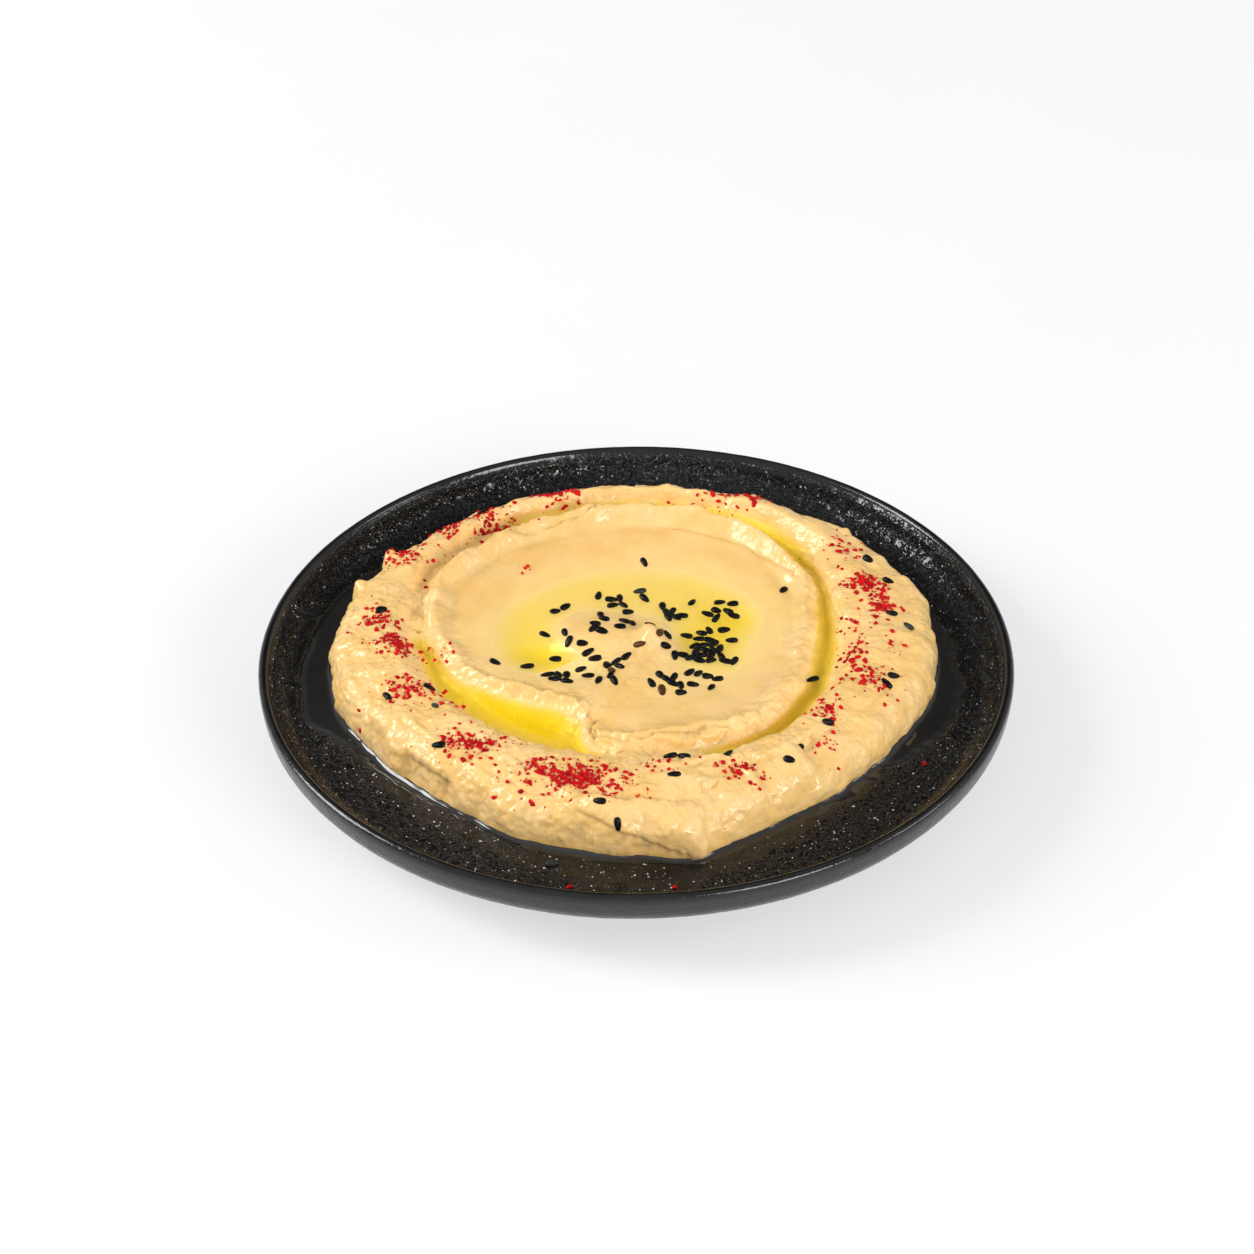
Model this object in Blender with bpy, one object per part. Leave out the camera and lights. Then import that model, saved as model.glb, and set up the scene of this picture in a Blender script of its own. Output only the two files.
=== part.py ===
"""Hummus on a black stoneware plate, with pools of olive oil, black sesame seeds and sumac.

Lengths in the tables below are millimetres and angles are degrees, counted from +X towards +Y. Meshes are made
in metres. The origin is on the plate's axis, on the surface that its foot ring stands on.
"""

import math
import random

import bmesh
import bpy
import numpy as np
from mathutils import Matrix, Vector
from mathutils.bvhtree import BVHTree

MM = 0.001

# Plate, a turned shape
PLATE_RADIUS = 95.0
PLATE_HEIGHT = 20.0
PLATE_FLOOR = 11.6
FLOOR_RADIUS = 82.0
COVE_RADIUS = 6.9
RIM_ROUNDING = 1.3
FOOT_OUTER = 57.0
FOOT_INNER = 51.5
FOOT_HEIGHT = 4.6
UNDERSIDE = 5.4
PLATE_SEGMENTS = 60

# Hummus, a swirl pressed with the back of a spoon
TOUCH_GAP = 0.3
HUMMUS_BASE = PLATE_FLOOR + TOUCH_GAP
OIL_LEVEL = 19.5
DISH_OIL_LEVEL = 19.3
LIP_WIDTH = 3.2
DISH_MEAN_LOW = 18.6
DISH_SLOPE = 0.62
RING_CREST_AT = 0.42
RING_FALL = 1.8
GRID_RINGS = 22
SIDE_ROWS = 3

# Radius of the hummus where it meets the plate
OUTLINE = {0: 76.5, 15: 78.0, 45: 76.3, 90: 76.0, 125: 75.0, 140: 75.3, 146: 75.8, 149: 78.0, 152: 76.2,
           156: 76.6, 159: 78.9, 163: 77.6, 168: 78.0, 182: 77.0, 196: 75.0, 206: 72.5, 220: 70.2, 236: 69.2,
           252: 71.0, 270: 71.5, 277: 73.0, 281: 74.0, 285: 72.0, 293: 69.8, 318: 68.3, 332: 70.0, 346: 74.0}
# How far the rounded side leans in from the outline to the shoulder
SIDE_LEAN = {0: 5.5, 45: 4.4, 90: 3.4, 150: 3.6, 180: 4.8, 235: 5.8, 262: 5.4, 276: 6.5, 288: 10.0, 300: 10.5,
             325: 9.0, 345: 6.5}
# Height of the outer ring's crest
RING_CREST = {0: 24.0, 45: 23.4, 90: 22.6, 135: 23.0, 180: 24.0, 225: 24.4, 265: 24.8, 300: 24.2, 330: 23.6}
# Outer shore of the moat, where oil meets the ring
MOAT_OUTER = {1: 51.0, 14: 53.0, 24: 55.0, 34: 58.6, 41: 63.0, 52: 65.0, 64: 67.2, 90: 67.9, 117: 67.6,
              128: 65.6, 138: 63.2, 150: 62.3, 162: 60.2, 172: 57.8, 183: 54.4, 200: 52.0, 215: 49.0,
              231: 46.8, 248: 45.0, 262: 44.4, 274: 44.3, 285: 46.3, 297: 48.6, 320: 49.6, 345: 50.2}
# Inner shore of the moat, along the lip of the swirl. It steps in past 256, where the swirl ends.
MOAT_INNER = {0: 44.9, 18: 49.0, 28: 53.2, 38: 55.8, 50: 58.4, 66: 60.6, 95: 60.6, 124: 60.6, 148: 60.4,
              160: 58.0, 170: 54.6, 181: 50.5, 192: 47.0, 204: 41.2, 222: 34.0, 238: 31.0, 246: 31.2,
              256: 42.4, 270: 42.6, 285: 43.8, 297: 44.8, 320: 45.4, 345: 44.5}
# Lowest height of the moat along its middle. Above the oil it is a bare crease.
MOAT_LOW = {0: 17.2, 22: 17.8, 32: 18.4, 45: 17.2, 90: 17.8, 118: 18.0, 130: 19.4, 140: 20.6, 158: 20.8,
            168: 19.6, 180: 17.6, 220: 16.6, 248: 17.0, 258: 20.2, 270: 21.0, 286: 20.4, 296: 18.0, 325: 17.2}
# Height of the swirl's lip
LIP_HEIGHT = {0: 21.6, 30: 21.9, 60: 23.0, 90: 23.4, 125: 23.2, 150: 22.6, 175: 21.4, 205: 21.2, 245: 21.6,
              256: 21.4, 275: 22.4, 310: 22.2, 335: 21.8}
# Lowest height of the shallow dish inside the lip
DISH_LOW = {0: 17.9, 30: 17.4, 60: 18.1, 95: 18.3, 130: 18.0, 175: 17.1, 205: 18.0, 235: 19.6, 270: 20.3,
            305: 20.0, 335: 18.9}

# Raised forms on the surface: (points of its line, height, width)
MOUND = ([(-11.0, 6.0), (1.0, 3.0)], 3.2, 9.0)
PEAK = ([(3.4, 2.2), (4.2, 0.6)], 2.6, 3.0)
PEAK_RIDGE = ([(4.0, 0.0), (-1.0, -9.0), (-6.0, -18.0), (-9.0, -26.0)], 1.6, 4.5)
FRONT_FOLD = ([(-14.0, -64.0), (-4.0, -67.0), (6.0, -69.0)], 1.4, 2.6)
LEFT_FOLD = ([(-60.0, -31.0), (-50.0, -44.0), (-40.0, -54.0)], 1.2, 3.0)
TORN_FOLDS = [([(18.0, -52.0), (28.0, -49.0), (36.0, -46.0)], 1.3, 2.2),
              ([(26.0, -58.0), (34.0, -58.0), (40.0, -55.0)], 1.1, 2.4),
              ([(-58.0, 13.0), (-53.0, 11.0), (-51.0, 14.0)], 1.2, 2.2)]
STROKES = [MOUND, PEAK, PEAK_RIDGE, FRONT_FOLD, LEFT_FOLD, *TORN_FOLDS]

# Oil pools: name, level, centre, first and last angle searched.
# A pool ends where its bed comes up to its level.
POOLS = [("oil_moat_front", OIL_LEVEL, (0.0, 0.0), 165, 262),
         ("oil_moat_back", OIL_LEVEL, (0.0, 0.0), -70, 136),
         ("oil_dish", DISH_OIL_LEVEL, (-3.0, 3.5), -60, 236)]
DISH_SEARCH = (6.0, 40.0)
MOAT_SEARCH = 2.5
POOL_STEP = 4.0
POOL_EDGE = 0.35
POOL_CLEAR = 0.4
POOL_LEAST = 0.6
SHORE_STEP = 0.2
FLAT_ANGLE = 2.5

# Black sesame seeds
SEED_LENGTH = 3.2
SEED_WIDTH = 1.9
SEED_HEIGHT = 0.8
TOPPING_SINK = 0.25
FOOT_SPREAD = 1.2
SKY = 40.0
# Where the seeds lie: x, y and the way each points
MOUND_SEEDS = [(-9.5, 23.0, 80), (-6.2, 21.2, 0), (-4.0, 21.6, 95), (-5.8, 18.6, 175), (-3.0, 18.6, 120),
               (-1.9, 15.6, 10), (-9.0, 13.8, 95), (-8.1, 10.7, 160), (-10.3, 7.8, 0), (-10.6, 5.8, 45),
               (-8.6, 4.8, 150), (-2.8, 9.4, 155), (-0.9, 8.4, 100), (-4.0, 6.0, 5), (2.4, 21.6, 125),
               (1.2, 24.8, 20), (3.6, 5.2, 40), (7.8, 3.6, 120), (5.9, 0.6, 60), (7.4, -1.6, 20),
               (1.1, -3.0, 165)]
LEFT_SEEDS = [(-18.0, 18.2, 50), (-20.6, 16.2, 35), (-23.1, 6.1, 150), (-17.9, 6.3, 105), (-16.9, 2.6, 60),
              (-13.5, 1.3, 170), (-12.0, -1.9, 30), (-10.3, -4.2, 0), (-20.3, -4.3, 0), (-27.3, -7.2, 0),
              (-13.8, -8.1, 0), (-22.2, -10.3, 5), (-19.6, -10.2, 110), (-17.4, -10.4, 90),
              (-20.4, -12.6, 20), (-17.2, -13.8, 150), (-12.0, -11.5, 175), (-9.3, -15.0, 75)]
RIDGE_SEEDS = [(-7.3, -7.7, 105), (-5.0, -7.6, 30), (-2.4, -6.2, 45), (-4.0, -10.6, 130), (-6.2, -11.4, 110),
               (-6.2, -14.0, 75), (-5.4, -17.4, 110)]
RIGHT_SEEDS = [(7.0, 18.0, 90), (7.9, 15.6, 115), (9.4, 15.6, 60), (8.4, 13.2, 110), (10.5, 13.0, 130),
               (12.0, 13.8, 0), (14.7, 19.6, 70), (21.8, 19.4, 175), (25.1, 18.8, 10), (20.8, 15.9, 140),
               (18.5, 14.4, 160), (20.7, 12.6, 60), (23.8, 15.5, 130), (25.2, 13.5, 170), (18.7, 7.3, 110),
               (22.5, 7.4, 20), (16.7, 6.1, 145), (12.9, 5.0, 170), (16.0, 3.6, 10), (18.8, 3.1, 175),
               (24.3, 2.9, 0), (14.8, 0.6, 30), (17.0, 0.9, 20), (19.6, 1.4, 40), (21.2, -0.4, 70),
               (15.2, -1.6, 70), (17.4, -1.1, 150), (19.6, -1.2, 110), (16.6, -3.3, 20), (19.0, -3.2, 60),
               (13.8, -4.2, 25), (15.9, -5.3, 160), (18.8, -5.5, 20), (21.4, -3.7, 110), (22.4, -5.8, 170),
               (24.6, -5.9, 60), (9.7, -3.5, 90), (11.7, -3.0, 160)]
FRONT_SEEDS = [(13.3, -10.5, 50), (15.5, -10.8, 55), (17.8, -12.0, 10), (20.2, -13.2, 5), (14.0, -16.0, 175),
               (18.5, -17.3, 70), (11.0, -16.6, 100), (11.0, -19.6, 15), (6.3, -18.7, 95), (3.7, -15.8, 115),
               (5.9, -12.6, 120), (7.5, -14.2, 130), (9.2, -13.4, 60), (9.0, -15.6, 145)]
RING_SEEDS = [(2.5, 37.5, 110), (38.4, 24.0, 60), (-35.4, -6.0, 160), (-64.8, 11.3, 20), (-61.0, -23.5, 125),
              (-51.0, -20.5, 170), (-49.0, -29.5, 100), (-47.5, -44.0, 175), (7.8, -50.6, 5),
              (11.0, -50.6, 150), (8.6, -57.5, 10), (39.0, -44.6, 65), (36.0, -50.2, 150), (46.0, -35.3, 15),
              (21.5, -49.5, 20), (61.5, -19.8, 150), (63.5, -16.8, 20), (69.0, 4.1, 130), (65.1, 8.4, 150),
              (65.4, 22.5, 140), (43.8, -14.0, 20), (44.0, 58.0, 150), (6.0, 71.0, 20), (-1.0, 72.5, 160),
              (-5.0, -69.6, 110)]
SEEDS = MOUND_SEEDS + LEFT_SEEDS + RIDGE_SEEDS + RIGHT_SEEDS + FRONT_SEEDS + RING_SEEDS

# Sumac flakes, the largest ones: centre x and y, spread along x and y, count
FLAKE_SIZE = 1.7
FLAKE_HEIGHT = 0.7
FLAKE_HEAPS = [(-15.0, -57.0, 7.5, 3.2, 20), (-40.0, -43.5, 5.5, 2.6, 9), (-56.0, -22.0, 5.0, 3.6, 6),
               (-60.0, -3.0, 3.0, 3.6, 8), (-65.5, 8.5, 3.0, 4.0, 7), (-61.0, 38.0, 4.0, 4.5, 8),
               (-49.0, 49.0, 3.0, 3.5, 5), (-41.0, 56.5, 3.6, 3.0, 7), (-21.0, 68.0, 3.8, 2.4, 9),
               (24.0, 66.0, 2.6, 1.6, 4), (32.5, 64.0, 2.8, 2.2, 6), (55.0, 38.0, 2.4, 4.0, 4),
               (58.5, 22.0, 2.8, 2.2, 8), (62.5, 13.0, 2.2, 3.6, 8), (54.0, -6.0, 2.2, 4.0, 5),
               (57.5, -17.0, 3.4, 3.4, 8), (46.0, -31.0, 2.6, 3.0, 5), (24.0, -54.0, 3.6, 2.6, 4)]
LARGEST_SPREAD = 2.0
FLAKE_CLEAR = 1.9
RANDOM_SEED = 7

GLAZE_BLACK = (0.018, 0.018, 0.020, 1.0)
HUMMUS_CREAM = (0.80, 0.56, 0.26, 1.0)
OLIVE_OIL = (0.72, 0.50, 0.04, 1.0)


def material(name, colour, roughness, transmission=0.0):
    """A Principled BSDF material with one colour."""
    made = bpy.data.materials.new(name)
    made.use_nodes = True
    shader = made.node_tree.nodes["Principled BSDF"]
    shader.inputs["Base Color"].default_value = colour
    shader.inputs["Roughness"].default_value = roughness
    shader.inputs["Transmission Weight"].default_value = transmission
    return made


def add_object(name, mesh, collection=None):
    """Links a mesh to the scene as an object at the origin."""
    made = bpy.data.objects.new(name, mesh)
    (collection or bpy.context.scene.collection).objects.link(made)
    return made


def smooth(t):
    """Smooth step from 0 to 1."""
    t = np.clip(t, 0.0, 1.0)
    return t * t * (3.0 - 2.0 * t)


def around(keys, angle):
    """A smooth closed curve through {angle: value} that doesn't overshoot its keys, read at each angle."""
    key_angle = np.array(sorted(keys), float)
    value = np.array([keys[k] for k in sorted(keys)], float)
    turns = np.concatenate([key_angle - 360.0, key_angle, key_angle + 360.0])
    value = np.tile(value, 3)
    step = np.diff(turns)
    rise = np.diff(value) / step
    slope = np.zeros_like(value)
    steady = rise[:-1] * rise[1:] > 0
    slope[1:-1][steady] = 2.0 * (rise[:-1] * rise[1:])[steady] / (rise[:-1] + rise[1:])[steady]
    angle = np.mod(angle, 360.0)
    i = np.searchsorted(turns, angle, side="right") - 1
    t = (angle - turns[i]) / step[i]
    from_start = value[i] * (1 + 2 * t) * (1 - t) ** 2 + slope[i] * step[i] * t * (1 - t) ** 2
    from_end = value[i + 1] * t * t * (3 - 2 * t) - slope[i + 1] * step[i] * t * t * (1 - t)
    return from_start + from_end


def distance_to_line(x, y, points):
    """Distance from each point to a polyline."""
    nearest = np.full(np.shape(x), np.inf)
    for (x0, y0), (x1, y1) in zip(points, points[1:]):
        dx, dy = x1 - x0, y1 - y0
        t = np.clip(((x - x0) * dx + (y - y0) * dy) / (dx * dx + dy * dy), 0.0, 1.0)
        nearest = np.minimum(nearest, np.hypot(x - x0 - t * dx, y - y0 - t * dy))
    return nearest


def shoulder_radius(angle):
    """Radius where the ring's top turns down into its side."""
    return around(OUTLINE, angle) - around(SIDE_LEAN, angle)


def swirl(radius, angle):
    """Height of the swirled surface, from the dish over its lip and the moat to the ring's shoulder."""
    inner, outer = around(MOAT_INNER, angle), around(MOAT_OUTER, angle)
    moat_low, lip = around(MOAT_LOW, angle), around(LIP_HEIGHT, angle)
    shore = np.maximum(OIL_LEVEL, moat_low + 0.2)
    crest_at = inner - LIP_WIDTH
    share = radius / crest_at
    low = DISH_MEAN_LOW + (around(DISH_LOW, angle) - DISH_MEAN_LOW) * smooth(share / 0.4)
    slope = DISH_SLOPE * smooth((share - 0.5) / 0.42) + (1 - DISH_SLOPE) * smooth((share - 0.84) / 0.16)
    dish = low + (lip - low) * slope
    lip_side = shore + (lip - shore) * np.cos(math.pi / 2 * np.clip((radius - crest_at) / LIP_WIDTH, 0, 1))
    across = np.clip((radius - inner) / (outer - inner), 0, 1)
    moat = shore - (shore - moat_low) * (1 - (2 * across - 1) ** 2)
    crest = around(RING_CREST, angle)
    out = (radius - outer) / (shoulder_radius(angle) - outer)
    climb = shore + (crest - shore) * np.sin(math.pi / 2 * np.clip(out / RING_CREST_AT, 0, 1))
    fall = RING_FALL * (np.clip(out - RING_CREST_AT, 0, 1) / (1 - RING_CREST_AT)) ** 2
    height = np.where(radius < crest_at, dish, lip_side)
    height = np.where(radius > inner, moat, height)
    return np.where(radius > outer, climb - fall, height)


def hummus_height(x, y):
    """Height of the hummus above the table, out to its shoulder."""
    x, y = np.asarray(x, float), np.asarray(y, float)
    height = swirl(np.hypot(x, y), np.degrees(np.arctan2(y, x)))
    for points, tall, width in STROKES:
        height = height + tall * np.exp(-((distance_to_line(x, y, points) / width) ** 2))
    return height


def ring_radius(share, angle):
    """Radius of the mesh ring at this share of the way out, so that rings run along the lip and the moat."""
    inner, outer = around(MOAT_INNER, angle), around(MOAT_OUTER, angle)
    crest_at, shoulder = inner - LIP_WIDTH, shoulder_radius(angle)
    stops = [(0.0, 0.0 * inner), (0.42, 0.74 * crest_at), (0.54, crest_at), (0.625, inner),
             (0.665, (inner + outer) / 2), (0.71, outer), (0.83, outer + RING_CREST_AT * (shoulder - outer)),
             (1.0, shoulder)]
    radius = np.zeros_like(inner)
    for (s0, r0), (s1, r1) in zip(stops, stops[1:]):
        t = np.clip((share - s0) / (s1 - s0), 0.0, 1.0)
        radius = np.where(share >= s0, r0 + t * (r1 - r0), radius)
    return radius


def disc_grid(rings):
    """A square grid bent into a disc: share of the way out, angle, and the quads between the points."""
    line = np.arange(-rings, rings + 1)
    i, j = np.meshgrid(line, line, indexing="ij")
    share = np.maximum(abs(i), abs(j)) / rings
    wide = abs(i) >= abs(j)
    with np.errstate(divide="ignore", invalid="ignore"):
        angle = np.where(wide, 45.0 * j / i + np.where(i < 0, 180.0, 0.0),
                         90.0 - 45.0 * i / j + np.where(j < 0, 180.0, 0.0))
    angle = np.nan_to_num(angle)
    side = 2 * rings + 1
    corner = np.arange(side * side).reshape(side, side)
    quads = np.stack([corner[:-1, :-1], corner[1:, :-1], corner[1:, 1:], corner[:-1, 1:]], -1).reshape(-1, 4)
    return share, angle, corner, quads.tolist()


def border(corner):
    """The grid's outermost points in order, against the clock seen from above when i is x and j is y."""
    return (list(corner[:-1, 0]) + list(corner[-1, :-1]) + list(corner[:0:-1, -1]) + list(corner[0, :0:-1]))


def hummus_mesh():
    """The bare hummus as one closed mesh: swirled top, rounded side and flat base."""
    share, angle, corner, faces = disc_grid(GRID_RINGS)
    radius = ring_radius(share, angle)
    x = radius * np.cos(np.radians(angle))
    y = radius * np.sin(np.radians(angle))
    points = np.stack([x, y, hummus_height(x, y)], -1).reshape(-1, 3).tolist()
    rim = border(corner)
    edge_angle = angle.reshape(-1)[rim]
    edge_height = np.array([points[k][2] for k in rim])
    outline, lean = around(OUTLINE, edge_angle), around(SIDE_LEAN, edge_angle)
    loops = [rim]
    for row in range(1, SIDE_ROWS + 1):
        turn = math.pi / 2 * row / SIDE_ROWS
        row_radius = outline - lean * (1 - math.sin(turn))
        row_height = HUMMUS_BASE + (edge_height - HUMMUS_BASE) * max(math.cos(turn), 0.0) ** 0.7
        start = len(points)
        row_x = row_radius * np.cos(np.radians(edge_angle))
        row_y = row_radius * np.sin(np.radians(edge_angle))
        points += np.stack([row_x, row_y, row_height], -1).tolist()
        loops.append(list(range(start, start + len(rim))))
    for upper, lower in zip(loops, loops[1:]):
        for k, here in enumerate(upper):
            after = (k + 1) % len(upper)
            faces.append([here, lower[k], lower[after], upper[after]])
    faces.append(loops[-1][::-1])
    mesh = bpy.data.meshes.new("hummus")
    mesh.from_pydata([(px * MM, py * MM, pz * MM) for px, py, pz in points], [], faces)
    closed = bmesh.new()
    closed.from_mesh(mesh)
    bmesh.ops.triangulate(closed, faces=closed.faces)
    bmesh.ops.recalc_face_normals(closed, faces=closed.faces)
    closed.to_mesh(mesh)
    closed.free()
    return mesh


def arc(centre, radius, start, end, count):
    """Points of a profile along an arc, as (distance from the axis, height)."""
    turns = [math.radians(start + (end - start) * k / (count - 1)) for k in range(count)]
    return [(centre[0] + radius * math.cos(t), centre[1] + radius * math.sin(t)) for t in turns]


def plate_profile():
    """Half of the plate's section, from the middle of its floor over the rim to the middle of its underside."""
    cove = arc((FLOOR_RADIUS + 2.8, PLATE_FLOOR + COVE_RADIUS), COVE_RADIUS, -76, -10, 4)
    rim_centre = (PLATE_RADIUS - RIM_ROUNDING, PLATE_HEIGHT - RIM_ROUNDING)
    rim = arc(rim_centre, RIM_ROUNDING, 160, 0, 5)
    underside = [(94.6, 14.8), (93.8, 12.9), (91.9, 11.1), (88.8, 9.6), (FOOT_OUTER + 3.0, UNDERSIDE)]
    foot = [(FOOT_OUTER, 0.6), (FOOT_OUTER - 0.6, 0.0), (FOOT_INNER, 0.0)]
    inside = [(FOOT_INNER - 2.0, FOOT_HEIGHT), (0.0, FOOT_HEIGHT)]
    return [(0.0, PLATE_FLOOR), (FLOOR_RADIUS, PLATE_FLOOR), *cove, *rim, *underside, *foot, *inside]


def plate():
    """The turned stoneware plate."""
    shape = bmesh.new()
    verts = [shape.verts.new((r * MM, 0.0, z * MM)) for r, z in plate_profile()]
    edges = [shape.edges.new(pair) for pair in zip(verts, verts[1:])]
    bmesh.ops.spin(shape, geom=verts + edges, cent=(0, 0, 0), axis=(0, 0, 1), angle=2 * math.pi,
                   steps=PLATE_SEGMENTS, use_merge=True)
    bmesh.ops.remove_doubles(shape, verts=shape.verts, dist=0.00001)
    bmesh.ops.recalc_face_normals(shape, faces=shape.faces)
    mesh = bpy.data.meshes.new("plate")
    shape.to_mesh(mesh)
    shape.free()
    mesh.shade_smooth()
    mesh.set_sharp_from_angle(angle=math.radians(40))
    mesh.materials.append(material("black_glaze", GLAZE_BLACK, 0.25))
    return add_object("plate", mesh)


def look_down(surface, x, y):
    """The place and normal of a surface straight below a point, or None beside it. x and y are millimetres."""
    place, normal, _, _ = surface.ray_cast(Vector((x, y, SKY)) * MM, Vector((0, 0, -1)))
    return None if place is None else (place, normal if normal.z > 0 else -normal)


def depth_at(bed, level, x, y):
    """How far the bed lies below a level, or 0 beside the bed."""
    found = look_down(bed, x, y)
    return 0.0 if found is None else level - found[0].z / MM


def pool_shores(pool, bed):
    """Angles of a pool, with the radii of its two shores at each, found from the oil's depth."""
    name, level, centre, first, last = pool
    found = []
    for angle in np.arange(first, last + 0.1, POOL_STEP):
        near, far = DISH_SEARCH
        if name != "oil_dish":
            near, far = around(MOAT_INNER, angle) - MOAT_SEARCH, around(MOAT_OUTER, angle) + MOAT_SEARCH
        radii = np.arange(near, far, SHORE_STEP)
        x = centre[0] + radii * math.cos(math.radians(angle))
        y = centre[1] + radii * math.sin(math.radians(angle))
        depth = np.array([depth_at(bed, level, px, py) for px, py in zip(x, y)])
        deep = depth > POOL_EDGE
        if not deep.any():
            continue
        middle = int(np.argmax(depth))
        low, high = middle, middle
        while low > 0 and deep[low - 1]:
            low -= 1
        while high < len(radii) - 1 and deep[high + 1]:
            high += 1
        if radii[high] - radii[low] > 2 * POOL_CLEAR + POOL_LEAST:
            found.append((angle, radii[low] + POOL_CLEAR, radii[high] - POOL_CLEAR))
    return found


def pool_point(pool, angle, radius, height):
    centre = pool[2]
    turn = math.radians(angle)
    return ((centre[0] + radius * math.cos(turn)) * MM, (centre[1] + radius * math.sin(turn)) * MM, height * MM)


def oil_pool(pool, shores, raised_hummus):
    """Oil up to its level, cut below by the hummus raised by the gap that touching pieces keep."""
    outline = [(a, near) for a, near, _ in shores] + [(a, far) for a, _, far in reversed(shores)]
    prism = bmesh.new()
    base = [prism.verts.new(pool_point(pool, a, r, HUMMUS_BASE + 2.0)) for a, r in outline]
    bottom = prism.faces.new(base)
    raised = bmesh.ops.extrude_face_region(prism, geom=[bottom])
    lift = [v for v in raised["geom"] if isinstance(v, bmesh.types.BMVert)]
    bmesh.ops.translate(prism, verts=lift, vec=(0, 0, (pool[1] - HUMMUS_BASE - 2.0) * MM))
    bmesh.ops.triangulate(prism, faces=prism.faces)
    bmesh.ops.recalc_face_normals(prism, faces=prism.faces)
    mesh = bpy.data.meshes.new(pool[0])
    prism.to_mesh(mesh)
    prism.free()
    made = add_object(pool[0], mesh)
    cut = made.modifiers.new("lower surface", "BOOLEAN")
    cut.operation = "DIFFERENCE"
    cut.solver = "EXACT"
    cut.object = raised_hummus
    apply_modifiers(made)
    drop_scraps(made)
    merge_flat_faces(made)
    return made


def merge_flat_faces(obj):
    """Merges faces that lie almost in one plane, then cuts the result into triangles."""
    shape = bmesh.new()
    shape.from_mesh(obj.data)
    bmesh.ops.dissolve_limit(shape, angle_limit=math.radians(FLAT_ANGLE), verts=shape.verts, edges=shape.edges)
    bmesh.ops.triangulate(shape, faces=shape.faces)
    shape.to_mesh(obj.data)
    shape.free()


def apply_modifiers(obj):
    """Puts the evaluated mesh in place of the object's own and removes its modifiers."""
    bpy.context.view_layer.update()
    evaluated = obj.evaluated_get(bpy.context.evaluated_depsgraph_get())
    final = bpy.data.meshes.new_from_object(evaluated)
    obj.modifiers.clear()
    obj.data = final


def surface_under(x, y, pools):
    """What a topping at x and y lies on: the pool's name or hummus, or None where it would cross a shore."""
    for pool, shores in pools:
        angle = math.degrees(math.atan2(y - pool[2][1], x - pool[2][0]))
        radius = math.hypot(x - pool[2][0], y - pool[2][1])
        table = np.array(shores)
        turned = angle + 360.0 if angle < table[0, 0] - POOL_STEP else angle
        beyond = max(table[0, 0] - turned, turned - table[-1, 0])
        if math.radians(beyond) * radius > SEED_LENGTH * 0.75:
            continue
        near = np.interp(turned, table[:, 0], table[:, 1])
        far = np.interp(turned, table[:, 0], table[:, 2])
        room = SEED_LENGTH * 0.62
        if beyond < -2.0 and near + room < radius < far - room:
            return pool[0]
        if near - room < radius < far + room:
            return None
    return "hummus"


def seed_mesh():
    """One sesame seed: a drop, blunt at one end and pointed at the other, its foot sunk in what it lies on."""
    edge = [(1.0, 0.0), (0.35, 0.8), (-0.5, 1.0), (-1.0, 0.0), (-0.5, -1.0), (0.35, -0.8)]
    half_length, half_width = SEED_LENGTH / 2 * FOOT_SPREAD, SEED_WIDTH / 2 * FOOT_SPREAD
    foot = [(x * half_length, y * half_width, -TOPPING_SINK) for x, y in edge]
    back = [(0.2 * SEED_LENGTH, 0.0, SEED_HEIGHT * 0.85), (-0.26 * SEED_LENGTH, 0.0, SEED_HEIGHT)]
    faces = [(0, 1, 6), (1, 2, 7), (1, 7, 6), (2, 3, 7), (3, 4, 7), (4, 5, 7), (5, 6, 7), (5, 0, 6),
             (5, 4, 3, 2, 1, 0)]
    mesh = bpy.data.meshes.new("seed")
    mesh.from_pydata([(x * MM, y * MM, z * MM) for x, y, z in foot + back], [], faces)
    return mesh


def flake_mesh():
    """One sumac flake: a low three-sided crumb whose foot is sunk in what it lies on."""
    half = FLAKE_SIZE / 2 * FOOT_SPREAD
    foot = [(half * math.cos(math.radians(turn)), half * math.sin(math.radians(turn)), -TOPPING_SINK)
            for turn in (0, 120, 240)]
    mesh = bpy.data.meshes.new("flake")
    mesh.from_pydata([(x * MM, y * MM, z * MM) for x, y, z in foot + [(0.0, 0.0, FLAKE_HEIGHT)]], [],
                     [(0, 1, 3), (1, 2, 3), (2, 0, 3), (2, 1, 0)])
    return mesh


def topping_places():
    """Where each seed and flake lies: kind, x, y and the way it points."""
    draw = random.Random(RANDOM_SEED)
    places = [("seed", x, y, way) for x, y, way in SEEDS]
    for centre_x, centre_y, spread_x, spread_y, count in FLAKE_HEAPS:
        laid = 0
        for _ in range(count * 12):
            x = centre_x + spread_x * max(-LARGEST_SPREAD, min(LARGEST_SPREAD, draw.gauss(0, 0.7)))
            y = centre_y + spread_y * max(-LARGEST_SPREAD, min(LARGEST_SPREAD, draw.gauss(0, 0.7)))
            way = draw.uniform(0, 180)
            if laid < count and all(math.hypot(x - px, y - py) > FLAKE_CLEAR for _, px, py, _ in places):
                places.append(("flake", x, y, way))
                laid += 1
    return places


def lie_on(surface, x, y, way):
    """Matrix that lays a topping at x and y on a surface, along its slope, or None beside the surface."""
    found = look_down(surface, x, y)
    if found is None:
        return None
    place, normal = found
    tilt = Vector((0, 0, 1)).rotation_difference(normal).to_matrix().to_4x4()
    return Matrix.Translation(place) @ tilt @ Matrix.Rotation(math.radians(way), 4, "Z")


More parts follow.
